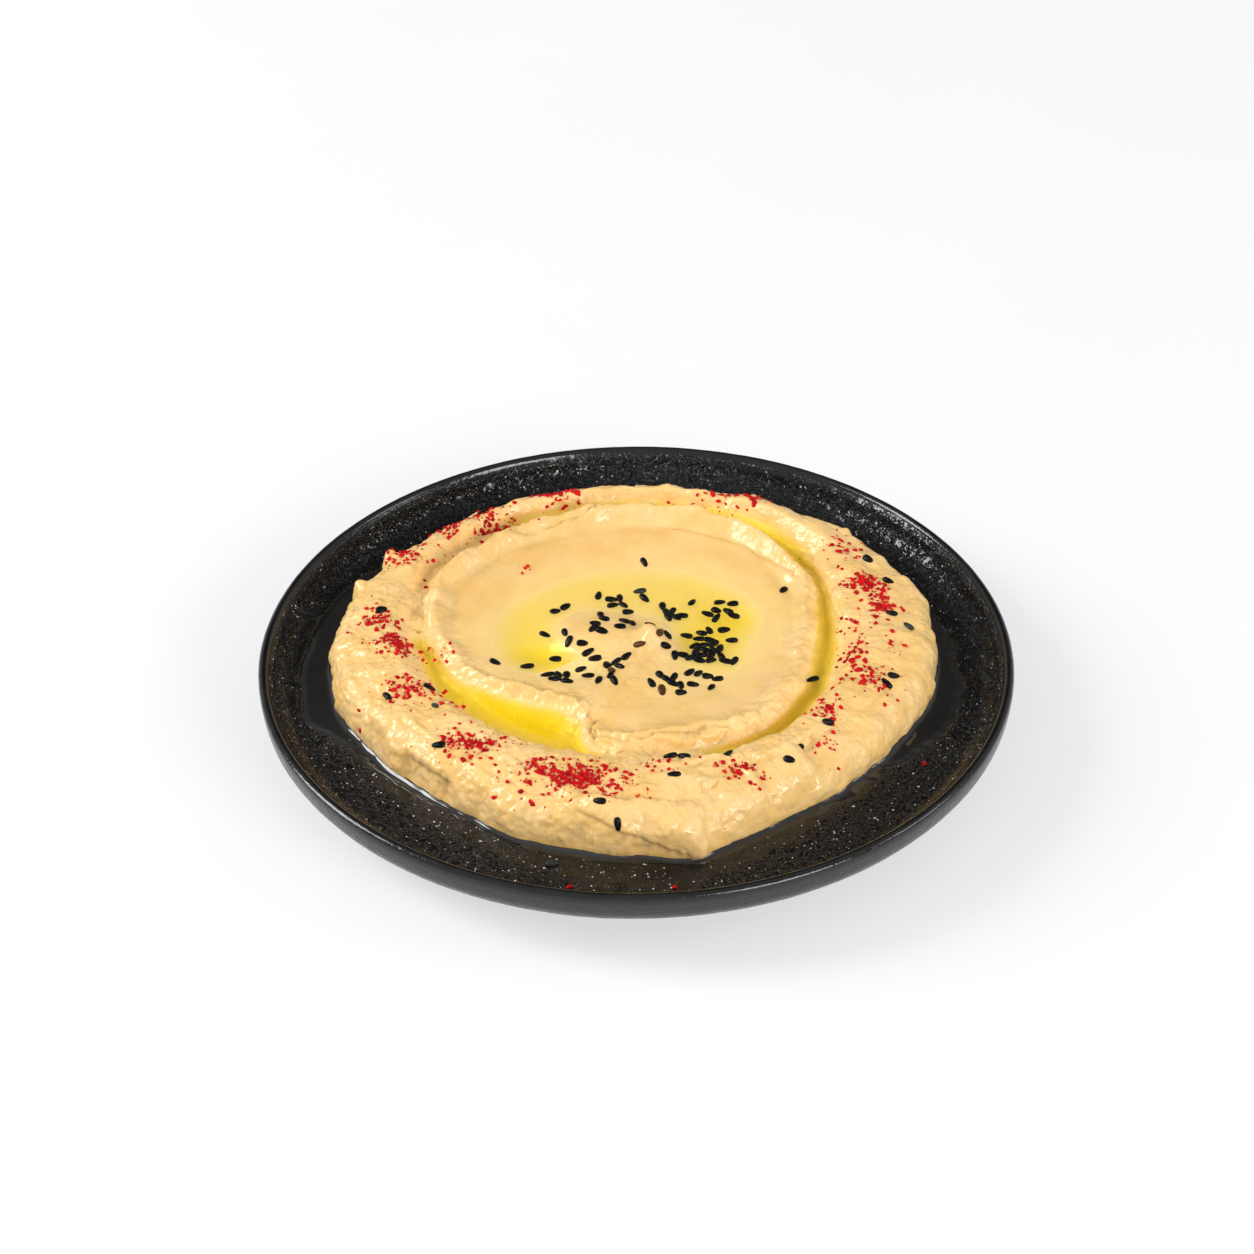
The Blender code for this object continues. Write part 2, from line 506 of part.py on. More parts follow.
def drop_scraps(obj):
    """Keeps the largest connected piece of an object's mesh and removes loose scraps."""
    shape = bmesh.new()
    shape.from_mesh(obj.data)
    unseen = set(shape.verts)
    pieces = []
    while unseen:
        piece = [unseen.pop()]
        for vert in piece:
            fresh = [edge.other_vert(vert) for edge in vert.link_edges if edge.other_vert(vert) in unseen]
            unseen.difference_update(fresh)
            piece.extend(fresh)
        pieces.append(piece)
    pieces.sort(key=len)
    for scrap in pieces[:-1]:
        bmesh.ops.delete(shape, geom=scrap, context="VERTS")
    shape.to_mesh(obj.data)
    shape.free()


def fuse(base, collection):
    """Joins a collection's objects to the base by one Boolean union, then removes them."""
    union = base.modifiers.new("toppings", "BOOLEAN")
    union.operation = "UNION"
    union.operand_type = "COLLECTION"
    union.solver = "EXACT"
    union.collection = collection
    apply_modifiers(base)
    drop_scraps(base)
    for used in list(collection.objects):
        bpy.data.objects.remove(used)
    bpy.data.collections.remove(collection)


def toppings(bases, pools):
    """Lays seeds and flakes on the hummus and the oil and fuses each to what it lies on."""
    shapes = {"seed": seed_mesh(), "flake": flake_mesh()}
    depsgraph = bpy.context.evaluated_depsgraph_get()
    surfaces = {name: BVHTree.FromObject(base, depsgraph) for name, base in bases.items()}
    groups = {}
    for kind, x, y, way in topping_places():
        angle = math.degrees(math.atan2(y, x))
        if math.hypot(x, y) > float(shoulder_radius(angle)) - 1.0:
            continue
        under = surface_under(x, y, pools)
        place = lie_on(surfaces[under], x, y, way) if under else None
        if place is None:
            continue
        if under not in groups:
            groups[under] = bpy.data.collections.new("on_" + under)
            bpy.context.scene.collection.children.link(groups[under])
        laid = add_object(kind, shapes[kind], groups[under])
        laid.matrix_world = place
    for name, collection in groups.items():
        fuse(bases[name], collection)


def finish_surface(obj, look):
    obj.data.materials.clear()
    obj.data.materials.append(look)
    obj.data.shade_smooth()
    obj.data.set_sharp_from_angle(angle=math.radians(28))


def main():
    for old in list(bpy.data.objects):
        bpy.data.objects.remove(old)
    plate()
    hummus = add_object("hummus", hummus_mesh())
    raised = add_object("raised_hummus", hummus.data.copy())
    raised.data.transform(Matrix.Translation((0, 0, TOUCH_GAP * MM)))
    bpy.context.view_layer.update()
    bed = BVHTree.FromObject(raised, bpy.context.evaluated_depsgraph_get())
    bases = {"hummus": hummus}
    pools = [(pool, pool_shores(pool, bed)) for pool in POOLS]
    for pool, shores in pools:
        bases[pool[0]] = oil_pool(pool, shores, raised)
    bpy.data.objects.remove(raised)
    toppings(bases, pools)
    finish_surface(hummus, material("hummus", HUMMUS_CREAM, 0.45))
    oil_look = material("olive_oil", OLIVE_OIL, 0.05, 0.6)
    for pool, _ in pools:
        finish_surface(bases[pool[0]], oil_look)


main()
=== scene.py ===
"""Hummus on a black stoneware plate: its visible surfaces, the lights and the camera, around the fixed frame.

Lengths in the tables are millimetres and angles are degrees, counted from +X towards +Y. Meshes are in metres.
"""
import itertools
import math
import random

import bpy
import numpy as np
from mathutils import Matrix, Vector
from mathutils.bvhtree import BVHTree


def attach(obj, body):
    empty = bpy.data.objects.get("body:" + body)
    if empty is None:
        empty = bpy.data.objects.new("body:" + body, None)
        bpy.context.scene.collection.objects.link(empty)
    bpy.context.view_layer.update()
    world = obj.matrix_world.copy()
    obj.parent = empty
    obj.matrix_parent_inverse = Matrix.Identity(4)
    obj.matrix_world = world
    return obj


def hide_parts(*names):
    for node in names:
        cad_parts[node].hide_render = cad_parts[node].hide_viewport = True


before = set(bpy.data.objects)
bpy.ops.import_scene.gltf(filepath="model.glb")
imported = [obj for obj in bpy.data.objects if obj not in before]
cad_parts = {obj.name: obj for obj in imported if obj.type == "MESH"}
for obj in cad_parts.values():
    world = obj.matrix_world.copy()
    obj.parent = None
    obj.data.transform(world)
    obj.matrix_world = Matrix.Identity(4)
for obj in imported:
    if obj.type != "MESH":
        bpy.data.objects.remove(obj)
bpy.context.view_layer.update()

MM = 0.001

# Plate, as in the frame
PLATE_RADIUS = 95.0
PLATE_HEIGHT = 20.0
PLATE_FLOOR = 11.6
FLOOR_RADIUS = 82.0
COVE_RADIUS = 6.9
RIM_ROUNDING = 1.3
FOOT_OUTER = 57.0
FOOT_INNER = 51.5
FOOT_HEIGHT = 4.6
UNDERSIDE = 5.4
PLATE_SEGMENTS = 900

# Hummus, as in the frame
OIL_LEVEL = 19.5
DISH_OIL_LEVEL = 19.3
LIP_WIDTH = 3.2
DISH_MEAN_LOW = 18.6
DISH_SLOPE = 0.62
RING_CREST_AT = 0.42
RING_FALL = 1.8
SWIRL_END_DROP = 1.1
HUMMUS_BASE = 11.9
HUMMUS_FOOT = 11.4
GRID_RINGS = 150
SIDE_ROWS = 26
OUTLINE = {0: 76.5, 15: 78, 45: 76.3, 90: 76, 125: 75, 140: 75.3, 146: 75.8, 149: 78, 152: 76.2, 156: 76.6, 159: 78.9,
    163: 77.6, 168: 78, 182: 77, 196: 75, 206: 72.5, 220: 70.2, 236: 69.2, 252: 71, 270: 71.5, 277: 73, 281: 74,
    285: 72, 293: 69.8, 318: 68.3, 332: 70, 346: 74}
SIDE_LEAN = {0: 5.5, 45: 4.4, 90: 3.4, 150: 3.6, 180: 4.8, 235: 5.8, 262: 5.4, 276: 6.5, 288: 10, 300: 10.5, 325: 9,
    345: 6.5}
RING_CREST = {0: 24, 45: 23.4, 90: 22.6, 135: 23, 180: 24, 225: 24.4, 265: 24.8, 300: 24.2, 330: 23.6}
MOAT_OUTER = {1: 51, 14: 53, 24: 55, 34: 58.6, 41: 63, 52: 65, 64: 67.2, 90: 67.9, 117: 67.6, 128: 65.6, 138: 63.2,
    150: 62.3, 162: 60.2, 172: 57.8, 183: 54.4, 200: 52, 215: 49, 231: 46.8, 248: 45, 262: 44.4, 274: 44.3, 285: 46.3,
    297: 48.6, 320: 49.6, 345: 50.2}
MOAT_INNER = {0: 44.9, 18: 49, 28: 53.2, 38: 55.8, 50: 58.4, 66: 60.6, 95: 60.6, 124: 60.6, 148: 60.4, 160: 58,
    170: 54.6, 181: 50.5, 192: 47, 204: 41.2, 222: 34, 238: 31.4, 245: 32.4, 249: 37.6, 254: 42.4, 260: 43.4,
    270: 42.6, 285: 43.8, 297: 44.8, 320: 45.4, 345: 44.5}
MOAT_LOW = {0: 17.2, 22: 17.8, 32: 18.4, 45: 17.2, 90: 17.8, 118: 18, 130: 19.4, 140: 20.6, 158: 20.8, 168: 19.6,
    180: 17.6, 220: 16.6, 248: 17, 255: 18.2, 263: 20.2, 270: 21, 286: 20.4, 296: 18, 325: 17.2}
LIP_HEIGHT = {0: 21.6, 30: 21.9, 60: 23.5, 90: 23.9, 125: 23.8, 150: 23.1, 175: 21.6, 205: 21.2, 245: 21.6, 256: 21.4,
    275: 22.4, 310: 22.2, 335: 21.8}
DISH_LOW = {0: 18.2, 30: 17.9, 60: 18.4, 95: 18.6, 130: 18.5, 175: 17.9, 205: 18.4, 235: 19.6, 270: 20.3, 305: 20,
    335: 18.9}
MOUND = ([(-11, 6), (1, 3)], 3.2, 9)
MOUND_BACK = [(-12, 5), (0, 2), (-4, -12)]
PEAK = ([(3.4, 2.2), (4.2, 0.6)], 2.6, 3)
PEAK_RIDGE = ([(4, 0), (-1, -9), (-6, -18), (-9, -26)], 1.6, 4.5)
FRONT_FOLD = ([(-14, -64), (-4, -67), (6, -69)], 1.4, 2.6)
LEFT_FOLD = ([(-60, -31), (-50, -44), (-40, -54)], 1.2, 3)
TORN_FOLDS = [
    ([(18, -52), (28, -49), (36, -46)], 1.3, 2.2),
    ([(26, -58), (34, -58), (40, -55)], 1.1, 2.4),
    ([(-58, 13), (-53, 11), (-51, 14)], 1.2, 2.2)]
STROKES = [MOUND, PEAK, PEAK_RIDGE, FRONT_FOLD, LEFT_FOLD, *TORN_FOLDS]

# Fine folds: points of the line, height, width to the left of its way and to the right of it
CREASES = [
    ([(27.4, -54.8), (33, -50.8), (36.8, -45.3), (40.5, -40.7)], 1.2, 2.2, 0.6),
    ([(15.6, -59.1), (19.6, -57.4), (23.7, -54.8), (27.4, -54.8)], 0.9, 1.6, 0.6),
    ([(43.4, -50.5), (40.2, -56.8)], 1.1, 0.6, 2.2),
    ([(23.5, -60.9), (27, -58.7), (32.5, -61), (36.5, -60.1), (40.4, -58.8)], 0.8, 1.8, 0.7),
    ([(12.3, -52.3), (17.6, -49.7), (21.5, -52)], 0.8, 1.2, 0.6),
    ([(23.9, -50.2), (27.4, -54.8)], 0.8, 0.7, 1.4),
    ([(53, 11), (52, 19), (50.5, 27), (48, 34.7), (44.5, 40.5)], 1.3, 0.5, 2.6),
    ([(16, -55), (22, -53.4)], 0.45, 0.9, 0.5),
    ([(-59, 9), (-55, 6.6), (-52.6, 8.6), (-53, 13)], 0.9, 0.6, 1.8),
    ([(-46.9, 39.4), (-41.6, 45), (-35, 49)], 0.6, 0.7, 1.5),
    ([(-41.3, 50), (-36, 53.4), (-32.5, 56.7), (-29.2, 55.9)], 0.6, 0.6, 1.4),
    ([(-56, -33), (-50, -40), (-46, -46)], 0.5, 1.6, 0.6),
    ([(-70, 2), (-68, -8), (-66, -14)], 0.4, 1.4, 1.4),
    ([(-8, -24.5), (-4, -15), (1, -7), (4.4, 0)], 0.45, 2.6, 0.8),
    ([(58, 38), (64, 30), (67, 22)], 0.35, 1.6, 1.2),
    ([(52, -34), (56, -26), (60, -20)], 0.4, 1.6, 0.9),
    ([(-9, -36.4), (-1.8, -39), (5, -37.6), (10.5, -36.6), (15.9, -34), (21, -34.4), (26.6, -32.2),
      (31, -33.8)], 1, 2.4, 0.6),
    ([(-4, -41.8), (4, -40.6), (12, -41.4), (20, -38)], 0.6, 1.4, 0.5),
    ([(-8.4, -42.6), (-11.6, -40.4), (-13.4, -36), (-12.6, -31)], 0.8, 0.5, 1.4),
    ([(-6.4, -40.6), (-9.4, -38.6), (-10.4, -35.4), (-9.4, -32)], 0.6, 0.5, 1.4),
    ([(-53.5, 19.9), (-50.7, 27.4), (-45.9, 34.3), (-38.9, 41.3), (-33.7, 44.7), (-26.9, 46.8), (-18.8, 51),
      (-10.7, 55.3)], 1, 0.6, 1.8),
    ([(-10.7, 55.3), (0, 57.2), (12, 56.6), (24, 53), (33.4, 48.1), (43.3, 36)], 0.8, 0.7, 1.6),
    ([(12, 49.5), (20, 46.6), (27.9, 42.7), (35, 36), (40.4, 29.4)], 0.8, 0.6, 2.2),
    ([(40, 30), (44.6, 20), (46, 10)], 0.4, 0.6, 1.8)]

# Wells in the floor of the dish: middle, half length along x and y, depth
WELLS = [(-24, -1.5, 7, 4.4, 1.4), (17, 4, 6, 5, 1), (24.5, 12.5, 6, 5, 0.9)]

# Pointed bits of the outline: angle, radius, height
TIPS = [(149, 74.5, 1.5), (159.5, 76, 1.5), (133, 73, 0.8), (64, 74.5, 1), (41, 74.5, 1), (20, 74, 0.7)]

# Stretches of the circle, as (first angle, last angle, fade in, fade out)
BACK_LIP = (15, 172, 20, 14)
DRAPE = (254, 318, 8, 10)
FLAP = (257, 284, 4, 3)
LEDGE = (215, 231, 3, 3)

# Glistening places: middle and reach
WET_SPOTS = [(-11, -39, 4.5), (50, 28, 7), (44, 38, 6), (-48, -4, 5), (-40, -16, 6), (-32, -24, 6), (42, 16, 6),
    (-8, -4, 9), (53, 20, 6), (40, -52, 6), (-56, -34, 9)]

# Oil pools: node, level, centre, first and last angle, and how far out a pool is looked for
POOLS = [("oil_moat_front", OIL_LEVEL, (0, 0), 160, 266),
         ("oil_moat_back", OIL_LEVEL, (0, 0), -74, 142),
         ("oil_dish", DISH_OIL_LEVEL, (-3, 3.5), -70, 246)]
DISH_SEARCH = (6, 42)
MOAT_SEARCH = 2.5
POOL_STEP = 1
POOL_ROWS = 24
POOL_OVERLAP = 0.6
POOL_BELOW = 0.5
MENISCUS = 0.10

# Oil that has run onto the plate: outer shore by angle
PUDDLE_LEVEL = 11.9
PUDDLE_OUT = {0: 82.4, 8: 82.9, 14: 82, 18: 80.6, 24: 78.9, 45: 77.2, 90: 76.8, 125: 76, 138: 77.2, 146: 83.5,
    152: 85.4, 165: 85.8, 180: 85.6, 192: 85, 198: 80.4, 204: 76.2, 220: 72, 236: 70.9, 252: 72.4, 270: 73, 281: 75.2,
    293: 71.4, 305: 70.8, 318: 71.2, 330: 74.6, 340: 79.4, 346: 81.8}
SHORE_RAGGED = {0: 2, 20: 1.6, 60: 1, 140: 1, 160: 0.6, 200: 1, 300: 1, 320: 2, 360: 2}

# Sesame: place and way of each seed
SEED_LENGTH = 3.2
SEED_WIDTH = 1.9
SEED_THICKNESS = 1.5
BLACK_SEEDS = [(-9.5, 23, 80), (-6.2, 21.2, 0), (-4, 21.6, 95), (-5.8, 18.6, 175), (-3, 18.6, 120), (-1.9, 15.6, 10),
    (-9, 13.8, 95), (-8.1, 10.7, 160), (-10.3, 7.8, 0), (-10.6, 5.8, 45), (-8.6, 4.8, 150), (-2.8, 9.4, 155),
    (-0.9, 8.4, 100), (-4, 6, 5), (2.4, 21.6, 125), (3.6, 5.2, 40), (7.8, 3.6, 120), (7.4, -1.6, 20), (-18, 18.2, 50),
    (-20.6, 16.2, 35), (-23.1, 6.1, 150), (-17.9, 6.3, 105), (-16.9, 2.6, 60), (-13.5, 1.3, 170), (-12, -1.9, 30),
    (-10.3, -4.2, 0), (-20.3, -4.3, 0), (-27.3, -7.2, 0), (-13.8, -8.1, 0), (-22.2, -10.3, 5), (-19.6, -10.2, 110),
    (-17.4, -10.4, 90), (-20.4, -12.6, 20), (-17.2, -13.8, 150), (-12, -11.5, 175), (-9.3, -15, 75),
    (-7.3, -7.7, 105), (-5, -7.6, 30), (-2.4, -6.2, 45), (-4, -10.6, 130), (-6.2, -14, 75), (-5.4, -17.4, 110),
    (7, 18, 90), (7.9, 15.6, 115), (9.4, 15.6, 60), (8.4, 13.2, 110), (10.5, 13, 130), (12, 13.8, 0),
    (14.7, 19.6, 70), (21.8, 19.4, 175), (25.1, 18.8, 10), (20.8, 15.9, 140), (18.5, 14.4, 160), (20.7, 12.6, 60),
    (23.8, 15.5, 130), (25.2, 13.5, 170), (18.7, 7.3, 110), (22.5, 7.4, 20), (16.7, 6.1, 145), (12.9, 5, 170),
    (16, 3.6, 10), (18.8, 3.1, 175), (24.3, 2.9, 0), (14.8, 0.6, 30), (17, 0.9, 20), (19.6, 1.4, 40),
    (21.2, -0.4, 70), (15.2, -1.6, 70), (17.4, -1.1, 150), (19.6, -1.2, 110), (16.6, -3.3, 20), (19, -3.2, 60),
    (13.8, -4.2, 25), (15.9, -5.3, 160), (18.8, -5.5, 20), (21.4, -3.7, 110), (22.4, -5.8, 170), (24.6, -5.9, 60),
    (9.7, -3.5, 90), (11.7, -3, 160), (13.3, -10.5, 50), (15.5, -10.8, 55), (17.8, -12, 10), (20.2, -13.2, 5),
    (14, -16, 175), (18.5, -17.3, 70), (11, -16.6, 100), (11, -19.6, 15), (3.7, -15.8, 115), (5.9, -12.6, 120),
    (7.5, -14.2, 130), (9.2, -13.4, 60), (9, -15.6, 145), (2.5, 37.5, 110), (38.4, 24, 60), (-35.4, -6, 160),
    (-64.8, 11.3, 20), (-61, -23.5, 125), (-51, -20.5, 170), (-47.5, -44, 175), (7.8, -50.6, 5), (11, -50.6, 150),
    (8.6, -57.5, 10), (39, -44.6, 65), (36, -50.2, 150), (46, -35.3, 15), (21.5, -49.5, 20), (61.5, -19.8, 150),
    (63.5, -16.8, 20), (65.1, 8.4, 150), (65.4, 22.5, 140), (43.8, -14, 20), (44, 58, 150), (6, 71, 20),
    (-1, 72.5, 160), (-4.8, -71.2, 100), (-8.9, -67, 165), (61, 33, 130), (-40.5, 57.5, 10)]
BROWN_SEEDS = [(1.1, -3, 165), (6.3, -18.7, 95), (-6.2, -11.4, 110), (5.9, 0.6, 60)]
GREY_SEEDS = [(1.2, 24.8, 20), (69, 4.1, 130), (-49, -29.5, 100), (-20.2, -73.4, 5)]

# Sumac: centre of each heap, spread along x and y, count of flakes
FLAKE_SIZE = 1.7
FLAKE_HEAPS = [(-15, -57, 7.5, 3.2, 20), (-40, -43.5, 5.5, 2.6, 9), (-56, -22, 5, 3.6, 6), (-60, -3, 3, 3.6, 8),
    (-65.5, 8.5, 3, 4, 7), (-61, 38, 4, 4.5, 8), (-49, 49, 3, 3.5, 5), (-41, 56.5, 3.6, 3, 7), (-21, 68, 3.8, 2.4, 9),
    (24, 66, 2.6, 1.6, 4), (32.5, 64, 2.8, 2.2, 6), (55, 38, 2.4, 4, 4), (58.5, 22, 2.8, 2.2, 8),
    (62.5, 13, 2.2, 3.6, 8), (54, -6, 2.2, 4, 5), (57.5, -17, 3.4, 3.4, 8), (46, -31, 2.6, 3, 5),
    (24, -54, 3.6, 2.6, 4)]
STRAY_FLAKES = [(-16.1, -81.5, 20), (8.3, -82, 60), (69.8, -37.4, 120)]
FLAKE_SPREAD, LARGEST_SPREAD = 0.7, 2
FLAKE_CLEAR = 1.9
RANDOM_SEED = 7
LAYING_SEED = 3

# Finer sumac: centre, spread and count of crumbs
DUST_HEAPS = [(-15, -57, 8.5, 3.8, 150), (-24, -53, 4, 2.4, 30), (-40, -43.5, 6.5, 3.2, 70), (-56, -22, 5.5, 4, 60),
    (-60, -3, 4, 4.6, 70), (-65.5, 8.5, 3.4, 4.4, 40), (-61, 38, 5, 5.5, 50), (-49, 49, 3.5, 4, 35),
    (-37, 54, 5.6, 4, 70), (-21, 68, 4.4, 2.8, 70), (24, 66, 3.4, 2, 16), (32.5, 64, 3.2, 2.6, 26), (16, 65, 3, 2, 6),
    (56, 53, 3, 3, 8), (55, 38, 3, 4.6, 22), (58.5, 22, 3.4, 2.8, 60), (62.5, 13, 2.6, 4.2, 60), (55, 4, 3.4, 3, 12),
    (64, -4, 2.6, 3, 8), (54, -6, 2.6, 4.4, 26), (58, -18, 4.4, 4.2, 44), (46, -31, 3, 3.4, 26), (46, -42, 3, 3, 10),
    (24, -54, 4.2, 3, 28), (5, -52, 4, 2.4, 12), (-46, -26, 3, 4, 10), (-5, -61, 5, 3, 20), (-28, 34, 2, 1, 4),
    (-48, -4, 2, 3, 8)]
CRUMBS_PER_COUNT = 2.2
CRUMB_SPREADS = (0.5, 0.95)
CRUMB_SPREAD_LIMIT = 2.2
CRUMB_SIZE, CRUMB_SIZE_RANGE = 0.4, 1.4
CRUMB_KINDS = 12
TOPPING_SINK = 0.3
SKY = 40.0

# Camera: focal length and sensor width in mm, tilt and roll, and in metres the point it aims at and its distance
LENS, SENSOR = 80.0, 36.0
CAMERA_TILT, CAMERA_ROLL = 36.14, -0.53
CAMERA_AIM, CAMERA_AWAY = (-0.0022, 0.03586, 0.0), 0.7443

# Softboxes: name, way to it, then in metres its distance, width and height, and its power in watts
SOFTBOXES = [("strip", (-0.84, 0.10, 0.53), 1.7, 0.62, 1.00, 23.0),
             ("front", (0.56, -0.72, 0.40), 1.8, 0.90, 0.60, 18.0),
             ("right", (0.88, -0.10, 0.45), 1.8, 0.60, 0.60, 5.0)]
TABLE_HALF = 2.5

# Light of the studio walls: middle, inner and outer angle from it, strength outside and strength inside
STUDIO_GLOWS = [((0.05, 0.82, 0.57), 7.0, 34.0, 0.48, 0.06), ((-0.4, -0.75, 0.45), 20.0, 60.0, 0.0, 0.20)]


# ---- Numbers ----

def smooth(t):
    """Smooth step from 0 to 1."""
    t = np.clip(t, 0, 1)
    return t * t * (3 - 2 * t)


def hill(away, width):
    """A bell curve of height 1, by the distance from its top."""
    return np.exp(-((away / width) ** 2))


def along(stretch, angle):
    """1 along a stretch of the circle, with a fade at each end."""
    first, last, rise, fall = stretch
    return smooth((angle - first) / rise) * smooth((last - angle) / fall)


def around(keys, angle):
    """A smooth closed curve through {angle: value} that doesn't overshoot its keys, read at each angle."""
    key_angle = np.array(sorted(keys), float)
    value = np.array([keys[k] for k in sorted(keys)], float)
    turns = np.concatenate([key_angle - 360, key_angle, key_angle + 360])
    value = np.tile(value, 3)
    step = np.diff(turns)
    rise = np.diff(value) / step
    slope = np.zeros_like(value)
    steady = rise[:-1] * rise[1:] > 0
    slope[1:-1][steady] = 2 * (rise[:-1] * rise[1:])[steady] / (rise[:-1] + rise[1:])[steady]
    angle = np.mod(angle, 360)
    i = np.searchsorted(turns, angle, side="right") - 1
    t = (angle - turns[i]) / step[i]
    from_start = value[i] * (1 + 2 * t) * (1 - t) ** 2 + slope[i] * step[i] * t * (1 - t) ** 2
    from_end = value[i + 1] * t * t * (3 - 2 * t) - slope[i + 1] * step[i] * t * t * (1 - t)
    return from_start + from_end


SHUFFLE = np.random.RandomState(11).permutation(256)
WAYS = np.random.RandomState(12).normal(size=(256, 3))
WAYS /= np.linalg.norm(WAYS, axis=1)[:, None]


def grain(points, size, layer=0):
    """Gradient noise of about -0.5 to 0.5 with bumps of this size in mm, one pattern for each layer."""
    points = np.asarray(points, float) / size + 17.31 * (layer + 1)
    cell = np.floor(points).astype(int)
    part = points - cell
    fade = part ** 3 * (part * (part * 6 - 15) + 10)
    total = np.zeros(points.shape[:-1])
    for corner in itertools.product((0, 1), repeat=3):
        key = SHUFFLE[(cell[..., 0] + corner[0]) & 255]
        key = SHUFFLE[(key + cell[..., 1] + corner[1]) & 255]
        key = SHUFFLE[(key + cell[..., 2] + corner[2]) & 255]
        share = np.prod(np.where(np.array(corner) == 1, fade, 1 - fade), axis=-1)
        total += share * np.sum(WAYS[key] * (part - corner), axis=-1)
    return total


def billow(points, size, layer):
    """Rounded lumps with valleys between them, from 0 up to about 0.5."""
    return np.sqrt(grain(points, size, layer) ** 2 + 0.0064) - 0.08


def wave(angle, pitch, layer):
    """Noise along a circle, with a bump about every pitch mm of a 60 mm radius."""
    turn = np.radians(angle)
    return grain(np.stack([60 * np.cos(turn), 60 * np.sin(turn), np.zeros_like(turn)], -1), pitch, layer)


def nearest_on_line(x, y, points):
    """Distance from each point to a polyline, and on which side of its way the point is: 1 left, -1 right."""
    nearest = np.full(np.shape(x), np.inf)
    side = np.ones(np.shape(x))
    for (x0, y0), (x1, y1) in zip(points, points[1:]):
        dx, dy = x1 - x0, y1 - y0
        t = np.clip(((x - x0) * dx + (y - y0) * dy) / (dx * dx + dy * dy), 0, 1)
        away = np.hypot(x - x0 - t * dx, y - y0 - t * dy)
        side = np.where(away < nearest, np.sign(dx * (y - y0) - dy * (x - x0)), side)
        nearest = np.minimum(nearest, away)
    return nearest, side


# ---- Form of the hummus ----

def outline_radius(angle):
    return around(OUTLINE, angle) + 1.4 * wave(angle, 11, 1) + 0.5 * wave(angle, 4.2, 2)


def shoulder_radius(angle):
    return around(OUTLINE, angle) + 1.4 * wave(angle, 11, 1) - around(SIDE_LEAN, angle)


def moat_inner(angle):
    return around(MOAT_INNER, angle) + 1.3 * wave(angle, 8, 3) + 0.5 * wave(angle, 3.6, 4)


def moat_outer(angle):
    return around(MOAT_OUTER, angle) + 1.1 * wave(angle, 9, 5) + 0.5 * wave(angle, 3.8, 6)


def swirl(radius, angle):
    """Height of the swirled surface, from the dish over its lip and the moat to the ring's shoulder."""
    inner, outer = moat_inner(angle), moat_outer(angle)
    calm_inner, calm_outer = around(MOAT_INNER, angle), around(MOAT_OUTER, angle)
    inner = calm_inner + (inner - calm_inner) * smooth((radius / calm_inner - 0.78) / 0.16)
    outer = calm_outer + (outer - calm_outer) * smooth(1 - (radius - calm_outer - 1.5) / 5)
    moat_low = around(MOAT_LOW, angle)
    lip = around(LIP_HEIGHT, angle) - SWIRL_END_DROP * hill(angle % 360 - 251, 9)
    flat = np.stack([radius * np.cos(np.radians(angle)), radius * np.sin(np.radians(angle)), 0 * radius], -1)
    lip_rise = (0.9 * wave(angle, 6, 7) + 1.1 * grain(flat, 3, 8)) * hill(radius - inner + LIP_WIDTH, 1.8)
    shore = np.maximum(OIL_LEVEL, moat_low + 0.2)
    crest_at = inner - LIP_WIDTH
    share = radius / crest_at
    low = DISH_MEAN_LOW + (around(DISH_LOW, angle) - DISH_MEAN_LOW) * smooth(share / 0.4)
    slope = DISH_SLOPE * smooth((share - 0.5) / 0.42) + (1 - DISH_SLOPE) * smooth((share - 0.90) / 0.10)
    dish = low + (lip - low) * slope
    lip_side = shore + (lip - shore) * np.cos(math.pi / 2 * np.clip((radius - crest_at) / LIP_WIDTH, 0, 1))
    across = np.clip((radius - inner) / (outer - inner), 0, 1)
    moat = shore - (shore - moat_low) * (1 - (2 * across - 1) ** 2)
    crest = around(RING_CREST, angle) + 0.6 * wave(angle, 14, 9)
    out = (radius - outer) / (shoulder_radius(angle) - outer)
    climb = shore + (crest - shore) * np.sin(math.pi / 2 * np.clip(out / RING_CREST_AT, 0, 1))
    fall = RING_FALL * (np.clip(out - RING_CREST_AT, 0, 1) / (1 - RING_CREST_AT)) ** 2
    behind = along(BACK_LIP, angle % 360)
    lip_rise += (0.35 + 0.35 * behind) * hill(radius - crest_at, 1.1)
    lip_rise -= 0.9 * behind * hill(radius - crest_at + 4.2, 2.4)
    height = np.where(radius < crest_at, dish, lip_side) + lip_rise
    height = np.where(radius > inner, moat, height)
    return np.where(radius > outer, climb - fall, height)


def hummus_height(x, y):
    """Height of the hummus above the table, out to its shoulder."""
    height = swirl(np.hypot(x, y), np.degrees(np.arctan2(y, x)))
    for points, tall, width in STROKES:
        height = height + tall * hill(nearest_on_line(x, y, points)[0], width)
    for points, tall, left, right in CREASES:
        away, side = nearest_on_line(x, y, points)
        height = height + tall * hill(away, np.where(side > 0, left, right))
        narrow = min(left, right)
        groove = hill(away - 1.9 * narrow, narrow)
        height = height - 0.45 * tall * groove * (side < 0 if right < left else side > 0)
    for middle_x, middle_y, half_x, half_y, depth in WELLS:
        height = height - depth * np.exp(-(((x - middle_x) / half_x) ** 2) - ((y - middle_y) / half_y) ** 2)
    return height


